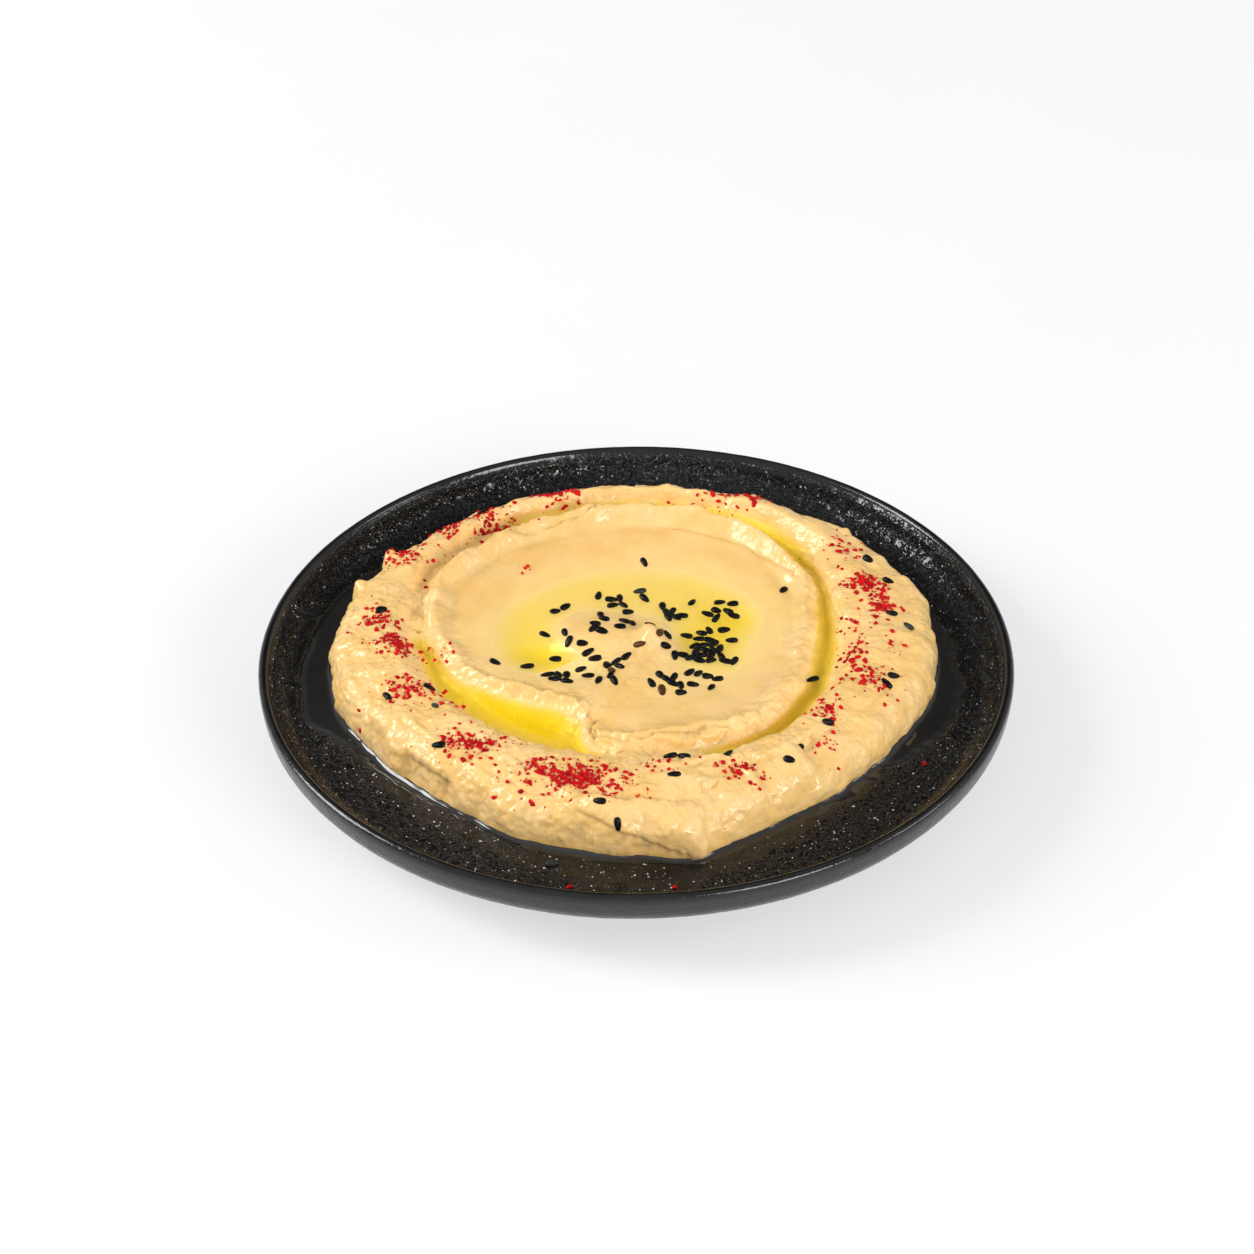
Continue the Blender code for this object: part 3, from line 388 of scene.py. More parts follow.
def ring_radius(share, angle):
    """Radius of the mesh ring at this share of the way out, so that rings run along the lip and the moat."""
    inner, outer = moat_inner(angle), moat_outer(angle)
    crest_at, shoulder = inner - LIP_WIDTH, shoulder_radius(angle)
    stops = [(0, 0 * inner), (0.44, 0.76 * crest_at), (0.56, crest_at), (0.625, inner),
             (0.66, (inner + outer) / 2), (0.70, outer), (0.84, outer + RING_CREST_AT * (shoulder - outer)),
             (1, shoulder)]
    radius = np.zeros_like(inner)
    for (s0, r0), (s1, r1) in zip(stops, stops[1:]):
        t = np.clip((share - s0) / (s1 - s0), 0, 1)
        radius = np.where(share >= s0, r0 + t * (r1 - r0), radius)
    return radius


def disc_grid(rings):
    """A square grid bent into a disc: share of the way out, angle, and the quads between the points."""
    line = np.arange(-rings, rings + 1)
    i, j = np.meshgrid(line, line, indexing="ij")
    share = np.maximum(abs(i), abs(j)) / rings
    wide = abs(i) >= abs(j)
    with np.errstate(divide="ignore", invalid="ignore"):
        angle = np.where(wide, 45 * j / i + np.where(i < 0, 180, 0),
                         90 - 45 * i / j + np.where(j < 0, 180, 0))
    angle = np.nan_to_num(angle)
    side = 2 * rings + 1
    corner = np.arange(side * side).reshape(side, side)
    quads = np.stack([corner[:-1, :-1], corner[1:, :-1], corner[1:, 1:], corner[:-1, 1:]], -1).reshape(-1, 4)
    return share, angle, corner, quads.tolist()


def border(corner):
    """The grid's outermost points in order, against the clock seen from above."""
    return list(corner[:-1, 0]) + list(corner[-1, :-1]) + list(corner[:0:-1, -1]) + list(corner[0, :0:-1])


# ---- Meshes ----

def new_mesh(name, points, faces):
    mesh = bpy.data.meshes.new(name)
    mesh.from_pydata((np.asarray(points) * MM).tolist(), [], faces)
    mesh.shade_smooth()
    return mesh


def new_piece(name, mesh, look, slot, *nodes):
    """Links a mesh as a visible piece on the root body, in place of the nodes named."""
    piece = bpy.data.objects.new(name, mesh)
    bpy.context.scene.collection.objects.link(piece)
    mesh.materials.append(look)
    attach(piece, "root")
    if nodes:
        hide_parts(*nodes)
    return piece


def paint(mesh, values, name="marks"):
    """Keeps up to three numbers for each point, which the material reads as a colour."""
    layer = mesh.color_attributes.new(name, "FLOAT_COLOR", "POINT")
    full = np.ones((len(mesh.vertices), 4))
    for k, value in enumerate(values):
        full[:, k] = value
    layer.data.foreach_set("color", full.ravel())


def normals_of(mesh):
    found = np.empty(len(mesh.vertices) * 3)
    mesh.vertex_normals.foreach_get("vector", found)
    return found.reshape(-1, 3)


def hummus_mesh():
    """The bare hummus: swirled top, rounded side and flat base, with its lumps and its flap."""
    share, angle, corner, faces = disc_grid(GRID_RINGS)
    radius = ring_radius(share, angle)
    x, y = radius * np.cos(np.radians(angle)), radius * np.sin(np.radians(angle))
    points = [np.stack([x, y, hummus_height(x, y)], -1).reshape(-1, 3)]
    rim = border(corner)
    edge_angle = angle.reshape(-1)[rim]
    edge_height = points[0][rim, 2]
    outline, lean = outline_radius(edge_angle), around(SIDE_LEAN, edge_angle)
    loops = [rim]
    start = len(points[0])
    turns = [math.pi / 2 * row / SIDE_ROWS for row in range(1, SIDE_ROWS + 1)]
    side = [(outline - lean * (1 - math.sin(turn)),
             HUMMUS_BASE + (edge_height - HUMMUS_BASE) * max(math.cos(turn), 0) ** 0.7) for turn in turns]
    for row_radius, row_height in [*side, (outline - 0.3, np.full_like(outline, HUMMUS_FOOT))]:
        points.append(np.stack([row_radius * np.cos(np.radians(edge_angle)),
                                row_radius * np.sin(np.radians(edge_angle)), row_height], -1))
        loops.append(list(range(start, start + len(rim))))
        start += len(rim)
    for upper, lower in zip(loops, loops[1:]):
        for k, here in enumerate(upper):
            after = (k + 1) % len(upper)
            faces.append([here, lower[k], lower[after], upper[after]])
    faces.append(loops[-1][::-1])
    points = np.concatenate(points)
    mesh = new_mesh("dressed_hummus", points, faces)
    points = points + hummus_relief(points)[:, None] * normals_of(mesh)
    points[:, 2] = np.maximum(points[:, 2], HUMMUS_FOOT)
    mesh.vertices.foreach_set("co", (points * MM).ravel())
    mesh.update()
    paint(mesh, hummus_marks(points))
    paint(mesh, hummus_finish(points), "finish")
    return mesh


def on_swirl(points):
    """Radius, angle, inner and outer radius of the moat, and oil level at each point."""
    x, y, _ = points.T
    radius, angle = np.hypot(x, y), np.degrees(np.arctan2(y, x)) % 360
    inner = moat_inner(angle)
    return radius, angle, inner, moat_outer(angle), np.where(radius < inner - LIP_WIDTH, DISH_OIL_LEVEL, OIL_LEVEL)


def hummus_relief(points):
    """How far each point of the hummus stands out of its smooth form, in mm."""
    x, y, z = points.T
    radius, angle, inner, outer, level = on_swirl(points)
    from_shoulder = radius - shoulder_radius(angle)
    in_dish = smooth((inner - LIP_WIDTH - 2 - radius) / 5)
    on_mound = hill(nearest_on_line(x, y, MOUND_BACK)[0], 9)
    rough = np.clip(1 - 0.9 * in_dish + 0.5 * on_mound, 0, 1.2)
    rough = rough * (0.75 + 0.25 * np.cos(np.radians(angle - 230)))
    drowned = smooth((level + 0.6 - z) / 0.8) * smooth((outer + 2 - radius) / 1.5)
    rough = rough * (1 - 0.9 * drowned)
    lumps = billow(points, 3.8, 20) + 0.75 * billow(points, 2, 21)
    relief = 1.1 * grain(points, 9, 22) * (1 - 0.65 * in_dish) * (1 - 0.7 * drowned)
    relief = relief + rough * (1.15 * lumps - 0.22)
    relief += 0.9 * (1 - in_dish) * (1 - drowned) * grain(points, 5.2, 24)
    pimples = smooth((grain(points, 1.7, 25) - 0.06) / 0.22)
    relief += 0.22 * rough * pimples * smooth(0.55 - 0.75 * np.cos(np.radians(angle - 60)))
    drape = along(DRAPE, angle) * hill(radius - inner + 1.2, 1.9)
    relief += 0.9 * drape * (np.abs(wave(angle, 2.6, 26)) + 0.6 * np.abs(wave(angle, 5.5, 27)) - 0.2)
    relief += 0.5 * hill(radius - inner + LIP_WIDTH, 1.6) * billow(points, 2.4, 28) * (1 - drowned)
    for turn, far, tall in TIPS:
        tip_x, tip_y = far * math.cos(math.radians(turn)), far * math.sin(math.radians(turn))
        away = np.hypot(x - tip_x, y - tip_y)
        relief += tall * hill(away, 1.3) * smooth((z - 16) / 3)
    fold = np.interp(angle, [258, 262, 281], [22, 21.4, 12.5])
    flap = smooth((z - fold) / 0.7) * along(FLAP, angle)
    relief += 1.2 * flap * smooth((from_shoulder + 1.5) / 2)
    ledge = along(LEDGE, angle) * smooth((from_shoulder + 1) / 1.5)
    relief += ledge * (0.8 * hill(z - 21, 1.2) - 1.3 * smooth((20 - z) / 2))
    return relief * smooth((z - HUMMUS_BASE + 0.2) / 1.5)


def hummus_marks(points):
    """For each point of the hummus: how wet it is, how oily just above the oil, and how deep its colour is, which is
    darker towards its foot and is painted shade on the back slope of the dish.
    """
    x, y, z = points.T
    radius, angle, inner, outer, level = on_swirl(points)
    inside = smooth((outer + 2.5 - radius) / 2)
    above = z - level
    oil = inside * smooth(1 - (above - 0.1 + 1.2 * grain(points, 5, 30)) / 1.6)
    wet = inside * smooth(1 - (above + 2 * grain(points, 6, 31)) / 3)
    left = smooth(0.5 - np.cos(np.radians(angle - 30)))
    wet = np.maximum(wet, smooth(0.5 + 1.8 * grain(points, 9, 32)) * (0.3 + 0.7 * left))
    for spot_x, spot_y, reach in WET_SPOTS:
        wet = np.maximum(wet, hill(np.hypot(x - spot_x, y - spot_y), reach))
    foot = smooth(1 - (z - HUMMUS_BASE) / 2.5)
    # Painted shade: a darker colour on the back slope of the dish, away from the light
    dish_back_shade = smooth((inner - LIP_WIDTH - 3 - radius) / 5) * smooth((y - 6) / 16)
    return [wet, oil, np.maximum(foot, 0.6 * dish_back_shade * smooth((radius - 14) / 8))]


def hummus_finish(points):
    """For each point of the hummus: its red from the sumac, whether it lies under oil, where its colour is yellower
    and painted lighter, and how smooth it is.
    """
    radius, _, inner, outer, level = on_swirl(points)
    # Under oil: the material paints this yellower and, as painted light, lighter
    under = smooth((level - points[:, 2] + 0.04) / 0.10) * smooth((outer + 1.5 - radius) / 1)
    smoothness = smooth((inner - LIP_WIDTH - 1 - radius) / 4)
    return [sumac_stain(points), under, smoothness]


def sumac_stain(points):
    """How much red each point has drawn from the sumac on it."""
    stain = np.zeros(len(points))
    for x, y, wide, deep, count in DUST_HEAPS:
        near = hill(points[:, 0] - x, wide) * hill(points[:, 1] - y, deep)
        stain = np.maximum(stain, near * min(1, 6 * count / (wide * deep) / 30))
    return stain * smooth(0.5 + 2.2 * grain(points, 2.6, 60))


def arc(centre, radius, start, end, count):
    """Points of a profile along an arc, as (distance from the axis, height)."""
    turns = [math.radians(start + (end - start) * k / (count - 1)) for k in range(count)]
    return [(centre[0] + radius * math.cos(t), centre[1] + radius * math.sin(t)) for t in turns]


def plate_profile():
    """Half of the plate's section, from the middle of its floor over the rim to the middle of its underside."""
    floor = [(r, PLATE_FLOOR) for r in (0, 20, 40, 55, 62)]
    floor += [(r, PLATE_FLOOR) for r in np.arange(64, FLOOR_RADIUS + 2, 0.7)]
    cove = arc((FLOOR_RADIUS + 2.8, PLATE_FLOOR + COVE_RADIUS), COVE_RADIUS, -84, -10, 15)
    rim_centre = (PLATE_RADIUS - RIM_ROUNDING, PLATE_HEIGHT - RIM_ROUNDING)
    rim = arc(rim_centre, RIM_ROUNDING, 165, 0, 12)
    side = [(94.95, 17.6), (94.85, 16.5), (94.7, 15.4), (94.5, 14.4), (94.1, 13.5), (93.4, 12.4), (92.5, 11.5),
            (91.2, 10.7), (89.6, 9.9), (88, 9.35), (80, 7.9), (70, 6.6), (FOOT_OUTER + 2.4, UNDERSIDE)]
    foot = [(FOOT_OUTER + 0.9, 4.6), (FOOT_OUTER + 0.4, 2.4), (FOOT_OUTER, 0.7), (FOOT_OUTER - 0.3, 0.2),
            (FOOT_OUTER - 0.8, 0), (FOOT_INNER + 0.6, 0), (FOOT_INNER + 0.1, 0.3), (FOOT_INNER - 0.6, 2.4)]
    inside = [(FOOT_INNER - 1.6, 4.2), (FOOT_INNER - 3, FOOT_HEIGHT), (30, FOOT_HEIGHT), (0, FOOT_HEIGHT)]
    return [*floor, *cove, *rim, *side, *foot, *inside]


def plate_mesh():
    """The turned plate, with the uneven glaze of its floor and wall."""
    profile = plate_profile()
    turn = 2 * math.pi * np.arange(PLATE_SEGMENTS) / PLATE_SEGMENTS
    rings = [np.stack([r * np.cos(turn), r * np.sin(turn), np.full_like(turn, z)], -1) for r, z in profile[1:-1]]
    points = np.concatenate([[[0, 0, profile[0][1]]], *rings, [[0, 0, profile[-1][1]]]])
    last = len(points) - 1
    faces = []
    ring = np.arange(PLATE_SEGMENTS)
    after = (ring + 1) % PLATE_SEGMENTS
    for row in range(len(rings) - 1):
        upper, lower = 1 + row * PLATE_SEGMENTS, 1 + (row + 1) * PLATE_SEGMENTS
        faces += np.stack([upper + ring, lower + ring, lower + after, upper + after], -1).tolist()
    end = 1 + (len(rings) - 1) * PLATE_SEGMENTS
    faces += [[0, 1 + a, 1 + b] for a, b in zip(ring.tolist(), after.tolist())]
    faces += [[last, end + b, end + a] for a, b in zip(ring.tolist(), after.tolist())]
    mesh = new_mesh("dressed_plate", points, faces)
    radius = np.hypot(points[:, 0], points[:, 1])
    top = (points[:, 2] > 11) & (radius < 93.2)
    angle = np.degrees(np.arctan2(points[:, 1], points[:, 0]))
    wrinkled = np.where(top, smooth((radius - 60) / 4) * smooth((18.8 - points[:, 2]) / 1), 0)
    wrinkled = wrinkled * smooth((radius - puddle_shore(angle) + 0.3) / 0.9)
    calm = 1 - 0.8 * smooth((0.3 - np.sin(np.radians(angle))) / 0.9)
    relief = wrinkled * calm * (0.70 * np.abs(grain(points, 2.2, 40)) + 0.25 * grain(points, 5, 41))
    relief = relief + 0.10 * grain(points, 14, 42) + 0.05 * grain(points, 3, 43)
    relief = np.where((points[:, 2] < 0.6), 0, relief)
    points = points + relief[:, None] * normals_of(mesh)
    mesh.vertices.foreach_set("co", (points * MM).ravel())
    mesh.update()
    side = np.where(radius > 92, smooth((18.6 - points[:, 2]) / 1.2), 0)
    paint(mesh, [wrinkled, side, wrinkled * calm])
    return mesh


def look_down(surface, x, y):
    """The place and normal of a surface straight below a point, or None beside it. x and y are millimetres."""
    place, normal, _, _ = surface.ray_cast(Vector((x, y, SKY)) * MM, Vector((0, 0, -1)))
    return None if place is None else (place, normal if normal.z > 0 else -normal)


def heights_of(surface, x, y):
    """Heights in mm of a surface below many points. Beside the surface it is 0."""
    found = [look_down(surface, px, py) for px, py in zip(np.ravel(x), np.ravel(y))]
    return np.array([0 if f is None else f[0].z / MM for f in found]).reshape(np.shape(x))


def two_sheets(top, bottom, closed):
    """Points and faces of an upper and a lower sheet, the upper one's point numbers and their next row."""
    index = np.arange(top[..., 0].size).reshape(top.shape[:2])
    here, after = (index, np.roll(index, -1, axis=0)) if closed else (index[:-1], index[1:])
    quads = np.stack([here[:, :-1], here[:, 1:], after[:, 1:], after[:, :-1]], -1).reshape(-1, 4)
    points = np.concatenate([top.reshape(-1, 3), bottom.reshape(-1, 3)])
    return points, quads.tolist() + (quads[:, ::-1] + index.size).tolist(), index, after


def pool_mesh(pool, bed):
    """One pool of oil: a level top that creeps up its shores, and a lower surface just inside the hummus."""
    name, level, centre, first, last = pool
    kept = []
    for angle in np.arange(first, last + 0.1, POOL_STEP):
        near, far = DISH_SEARCH
        if name != "oil_dish":
            near, far = moat_inner(angle) - MOAT_SEARCH, moat_outer(angle) + MOAT_SEARCH
        radii = np.arange(near, far, 0.2)
        turn = math.radians(angle)
        x, y = centre[0] + radii * math.cos(turn), centre[1] + radii * math.sin(turn)
        depth = level - heights_of(bed, x, y)
        if depth.max() < 0.05:
            continue
        middle = int(np.argmax(depth))
        low, high = middle, middle
        while low > 0 and depth[low - 1] > 0:
            low -= 1
        while high < len(radii) - 1 and depth[high + 1] > 0:
            high += 1
        kept.append((turn, radii[low], radii[high]))
    share = np.linspace(0, 1, POOL_ROWS + 1)
    top = []
    for turn, near, far in kept:
        radii = near - POOL_OVERLAP + (far - near + 2 * POOL_OVERLAP) * share
        top.append(np.stack([centre[0] + radii * math.cos(turn), centre[1] + radii * math.sin(turn),
                             np.full_like(radii, level)], -1))
    top = np.array(top)
    bottom = top.copy()
    under = heights_of(bed, top[..., 0], top[..., 1])
    for side, row in (0, share), (-1, share[::-1]):
        width = np.array([far - near for _, near, far in kept])[:, None] + 2 * POOL_OVERLAP
        steep = np.clip((under[:, side] - level) / POOL_OVERLAP, 0, 1)[:, None]
        creep = 0 if name == "oil_dish" else MENISCUS
        top[..., 2] += creep * steep * np.exp(-np.maximum(row[None, :] * width - POOL_OVERLAP, 0) / 0.7)
    bottom[..., 2] = np.minimum(under, level) - POOL_BELOW
    points, faces, index, _ = two_sheets(top, bottom, False)
    shift = index.size
    loop = list(index[0, :-1]) + list(index[:-1, -1]) + list(index[-1, :0:-1]) + list(index[:0:-1, 0])
    for k, here in enumerate(loop):
        after = loop[(k + 1) % len(loop)]
        faces.append([here, here + shift, after + shift, after])
    return new_mesh("dressed_" + name, points, faces)


def plate_height(radius):
    """Height of the plate's upper surface at a distance from the axis."""
    centre = (FLOOR_RADIUS + 2.8, PLATE_FLOOR + COVE_RADIUS)
    away = np.clip(radius - centre[0], 0, COVE_RADIUS)
    return np.where(radius < centre[0], PLATE_FLOOR, centre[1] - np.sqrt(COVE_RADIUS ** 2 - away ** 2))


def puddle_shore(angle):
    """Outer shore of the oil that has run out onto the plate. It is most ragged where the wrinkles hold it."""
    ragged = np.interp(np.mod(angle, 360), list(SHORE_RAGGED), list(SHORE_RAGGED.values()))
    shore = around(PUDDLE_OUT, angle) + ragged * (1.2 * wave(angle, 5, 50) + 0.8 * wave(angle, 2.2, 51))
    return np.maximum(shore, outline_radius(angle) + 0.8)


def puddle_mesh():
    """The oil that has run out onto the plate, a low ring around the foot of the hummus."""
    angle = np.arange(0, 360, 0.4)
    out = puddle_shore(angle)
    foot = outline_radius(angle) - 1.2
    share = np.linspace(0, 1, 29) ** 0.8
    radius = foot[:, None] + (out - foot)[:, None] * share[None, :]
    from_foot, from_shore = radius - foot[:, None] - 1.2, out[:, None] - radius
    body = (PUDDLE_LEVEL - PLATE_FLOOR) * smooth((out - foot - 2) / 5)[:, None]
    top_z = PLATE_FLOOR + 0.03 + body * smooth(from_shore / 2.4)
    top_z = top_z + 0.75 * np.exp(-np.maximum(from_foot, 0) / 0.55)
    top_z = np.maximum(top_z, plate_height(radius) - 0.02)
    top_z[:, -1] = plate_height(radius[:, -1]) - 0.1
    turn = np.radians(angle)[:, None]
    top = np.stack([radius * np.cos(turn), radius * np.sin(turn), top_z], -1)
    bottom = top.copy()
    bottom[..., 2] = plate_height(radius) - 0.35
    points, faces, index, after = two_sheets(top, bottom, True)
    shift = index.size
    inner = np.stack([index[:, 0], after[:, 0], after[:, 0] + shift, index[:, 0] + shift], -1)
    outer = np.stack([after[:, -1], index[:, -1], index[:, -1] + shift, after[:, -1] + shift], -1)
    return new_mesh("plate_oil", points, faces + inner.tolist() + outer.tolist())


# ---- Toppings ----

def place_in_heap(draw, heap, wide, limit):
    """A random place in a heap, given as its centre and its spread along x and y."""
    pairs = zip(heap[:2], heap[2:])
    return [centre + spread * max(-limit, min(limit, draw.gauss(0, wide))) for centre, spread in pairs]


def topping_places():
    """Where each large sumac flake lies: x, y and the way it points. The seeds' places are kept clear."""
    draw = random.Random(RANDOM_SEED)
    taken = [(x, y) for x, y, _ in BLACK_SEEDS + BROWN_SEEDS + GREY_SEEDS]
    places = []
    for *heap, count in FLAKE_HEAPS:
        laid = 0
        for _ in range(count * 12):
            x, y = place_in_heap(draw, heap, FLAKE_SPREAD, LARGEST_SPREAD)
            way = draw.uniform(0, 180)
            if laid < count and all(math.hypot(x - px, y - py) > FLAKE_CLEAR for px, py in taken):
                places.append((x, y, way))
                taken.append((x, y))
                laid += 1
    return places + STRAY_FLAKES


def seed_form():
    """Points and faces of a sesame seed of length, width and height 2: blunt at one end, pointed at the other."""
    across, along = 12, 9
    points = [(-1, 0, 0)]
    for k in range(1, along):
        t = math.pi * k / along
        x = -math.cos(t)
        wide = math.sin(t) ** 0.62 * (1 - 0.34 * (0.5 + 0.5 * x) ** 1.6)
        for m in range(across):
            turn = 2 * math.pi * m / across
            points.append((x, wide * math.cos(turn), wide * math.sin(turn) * (1 if turn < math.pi else 0.8)))
    points.append((1, 0, 0))
    faces = [(0, 1 + (m + 1) % across, 1 + m) for m in range(across)]
    for k in range(along - 2):
        for m in range(across):
            a, b = 1 + k * across + m, 1 + k * across + (m + 1) % across
            faces.append((a, b, b + across, a + across))
    end = len(points) - 1
    faces += [(end, end - across + m, end - across + (m + 1) % across) for m in range(across)]
    return np.array(points), faces


def crumb_form(draw):
    """Points and faces of a broken crumb of length, width and height 2."""
    points, turns = [], 7
    for level, reach in ((-0.55, 0.8), (0.15, 1), (0.8, 0.55)):
        for m in range(turns):
            turn = 2 * math.pi * (m + draw.uniform(-0.3, 0.3)) / turns
            far = reach * draw.uniform(0.62, 1.1)
            points.append((far * math.cos(turn), far * math.sin(turn), level + draw.uniform(-0.2, 0.2)))
    points += [(0, 0, -0.8), (draw.uniform(-0.2, 0.2), draw.uniform(-0.2, 0.2), 0.95)]
    faces = []
    for row in range(2):
        for m in range(turns):
            a, b = row * turns + m, row * turns + (m + 1) % turns
            faces.append((a, b, b + turns, a + turns))
    faces += [(3 * turns, (m + 1) % turns, m) for m in range(turns)]
    faces += [(3 * turns + 1, 2 * turns + m, 2 * turns + (m + 1) % turns) for m in range(turns)]
    return np.array(points), faces


def laid_mesh(name, places, forms, surfaces, draw):
    """Copies of small forms laid on the highest surface below them. A place is (x, y, way, size)."""
    points, faces, shade = [], [], []
    start = 0
    for k, (x, y, way, size) in enumerate(places):
        found = [f for f in (look_down(surface, x, y) for surface in surfaces) if f is not None]
        if not found:
            continue
        place, normal = max(found, key=lambda f: f[0].z)
        tilt = Vector((0, 0, 1)).rotation_difference(normal).to_matrix().to_4x4()
        lean = Matrix.Rotation(draw.gauss(0, 0.12), 4, "X") @ Matrix.Rotation(draw.gauss(0, 0.12), 4, "Y")
        form_points, form_faces = forms[k % len(forms)]
        grow = Matrix.Diagonal((size[0] / 2, size[1] / 2, size[2] / 2, 1))
        move = tilt @ Matrix.Rotation(math.radians(way), 4, "Z") @ lean @ grow
        turn = np.array(move.to_3x3())
        base = np.array(place) / MM + np.array(normal) * (size[2] / 2 - TOPPING_SINK * size[2])
        points.append(form_points @ turn.T + base)
        faces += [[start + c for c in face] for face in form_faces]
        shade.append(np.full(len(form_points), draw.random()))
        start += len(form_points)
    mesh = new_mesh(name, np.concatenate(points), faces)
    paint(mesh, [np.concatenate(shade)])
    return mesh


# ---- Materials ----

class Look:
    """A material and its node tree, built by short calls."""

    def __init__(self, name):
        self.material = bpy.data.materials.new(name)
        self.material.use_nodes = True
        self.tree = self.material.node_tree
        self.shader = self.tree.nodes["Principled BSDF"]

    def node(self, kind, **values):
        made = self.tree.nodes.new(kind)
        for key, value in values.items():
            if hasattr(made, key):
                setattr(made, key, value)
            else:
                self.put(made.inputs[key.replace("_", " ")], value)
        return made

    def put(self, socket, value):
        if isinstance(value, bpy.types.NodeSocket):
            self.tree.links.new(value, socket)
        else:
            socket.default_value = value

    def set(self, **values):
        for key, value in values.items():
            self.put(self.shader.inputs[key.replace("_", " ")], value)

    def place(self):
        return self.node("ShaderNodeTexCoord").outputs["Object"]

    def mark(self, part, name="marks"):
        """One of the numbers that paint() kept at each point."""
        read = self.node("ShaderNodeAttribute", attribute_name=name)
        split = self.node("ShaderNodeSeparateColor", Color=read.outputs["Color"])
        return split.outputs[part]

    def noise(self, size, detail=2, distortion=0):
        made = self.node("ShaderNodeTexNoise", Vector=self.place(), Scale=1 / (size * MM), Detail=detail,
                         Roughness=0.5, Distortion=distortion)
        return made.outputs["Fac"]

    def cells(self, size):
        return self.node("ShaderNodeTexVoronoi", Vector=self.place(), Scale=1 / (size * MM)).outputs["Distance"]

    def math(self, operation, *values):
        made = self.node("ShaderNodeMath", operation=operation)
        for k, value in enumerate(values):
            self.put(made.inputs[k], value)
        return made.outputs[0]

    def times(self, a, b):
        return self.math("MULTIPLY", a, b)

    def plus(self, a, b):
        return self.math("ADD", a, b)

    def span(self, value, low, high, to_low=0, to_high=1):
        made = self.node("ShaderNodeMapRange", interpolation_type="SMOOTHSTEP")
        for key, number in (("Value", value), ("From Min", low), ("From Max", high), ("To Min", to_low),
                            ("To Max", to_high)):
            self.put(made.inputs[key], number)
        return made.outputs["Result"]

    def mix(self, share, a, b):
        made = self.node("ShaderNodeMix", data_type="RGBA")
        self.put(made.inputs["Factor"], share)
        for socket, value in zip([s for s in made.inputs if s.type == "RGBA"], (a, b)):
            self.put(socket, value)
        return next(s for s in made.outputs if s.type == "RGBA")

    def bump(self, height, distance, strength=1):
        made = self.node("ShaderNodeBump", Strength=strength, Distance=distance * MM, Height=height)
        self.set(Normal=made.outputs["Normal"])


def colour(red, green, blue):
    return (red, green, blue, 1)


def hummus_look():
    look = Look("hummus_surface")
    wet, oil, foot = look.mark("Red"), look.mark("Green"), look.mark("Blue")
    cloud = look.noise(9, 3)
    base = look.mix(look.span(cloud, 0.35, 0.65), colour(0.85, 0.54, 0.185), colour(0.89, 0.595, 0.245))
    base = look.mix(look.times(oil, 0.6), base, colour(0.97, 0.69, 0.26))
    speck = look.span(look.noise(0.9, 1), 0.66, 0.74)
    base = look.mix(look.times(speck, 0.14), base, colour(0.55, 0.30, 0.09))
    # Darker towards the foot, and painted shade on the back slope of the dish
    base = look.mix(look.times(foot, 0.35), base, colour(0.74, 0.42, 0.10))
    # Under the oil the colour is yellower from the oil, and painted lighter as painted light that makes up for the
    # light the oil's surface turns away
    base = look.mix(look.times(look.mark("Green", "finish"), 0.8), base, colour(1, 0.73, 0.28))
    stain = look.times(look.mark("Red", "finish"), look.span(look.noise(1.3, 3), 0.42, 0.62))
    base = look.mix(look.times(stain, 0.5), base, colour(0.80, 0.16, 0.10))
    look.set(Base_Color=base, Subsurface_Weight=0.18, Subsurface_Scale=0.0012, IOR=1.47)
    look.shader.inputs["Subsurface Radius"].default_value = (1, 0.6, 0.3)
    dry = look.span(look.noise(2.4, 3), 0.35, 0.65, 0.23, 0.38)
    look.set(Roughness=look.math("SUBTRACT", dry, look.times(wet, 0.18)))
    fine = look.plus(look.noise(1.6), look.times(look.noise(0.7), 0.22))
    fine = look.times(fine, look.span(look.mark("Blue", "finish"), 0, 1, 1, 0.35))
    look.bump(fine, 0.34, 0.8)
    return look.material


def plate_look():
    look = Look("black_glaze")
    wrinkled, side, rugged = look.mark("Red"), look.mark("Green"), look.mark("Blue")
    worms = look.noise(1.5, 1, 1.2)
    ridge = look.span(look.math("ABSOLUTE", look.math("SUBTRACT", worms, 0.5)), 0, 0.12)
    cloud = look.noise(7, 3)
    base = look.mix(look.span(cloud, 0.3, 0.7), colour(0.003, 0.003, 0.0035), colour(0.007, 0.007, 0.0075))
    # Painted highlights: tiny white specks on the wrinkled glaze stand for glints of light
    painted_glints = look.math("LESS_THAN", look.cells(1.25), look.span(look.noise(3), 0.40, 0.70, 0.06, 0.24))
    painted_glints = look.times(painted_glints, look.times(wrinkled, look.span(look.noise(2.2), 0.42, 0.50)))
    base = look.mix(look.times(painted_glints, 0.9), base, colour(0.62, 0.62, 0.62))
    base = look.mix(look.times(side, 0.8), base, colour(0.022, 0.022, 0.023))
    rough = look.span(look.noise(1.6), 0.35, 0.65, 0.06, 0.15)
    look.set(Base_Color=base, Roughness=look.plus(rough, look.times(side, 0.16)), IOR=1.5)
    height = look.times(ridge, look.span(rugged, 0, 1, 0.02, 1))
    fine = look.times(look.noise(0.5), rugged)
    height = look.plus(height, look.times(fine, 0.08))
    height = look.plus(height, look.times(look.times(look.noise(1.1), side), 0.25))
    look.bump(height, 0.60, 1)
    return look.material


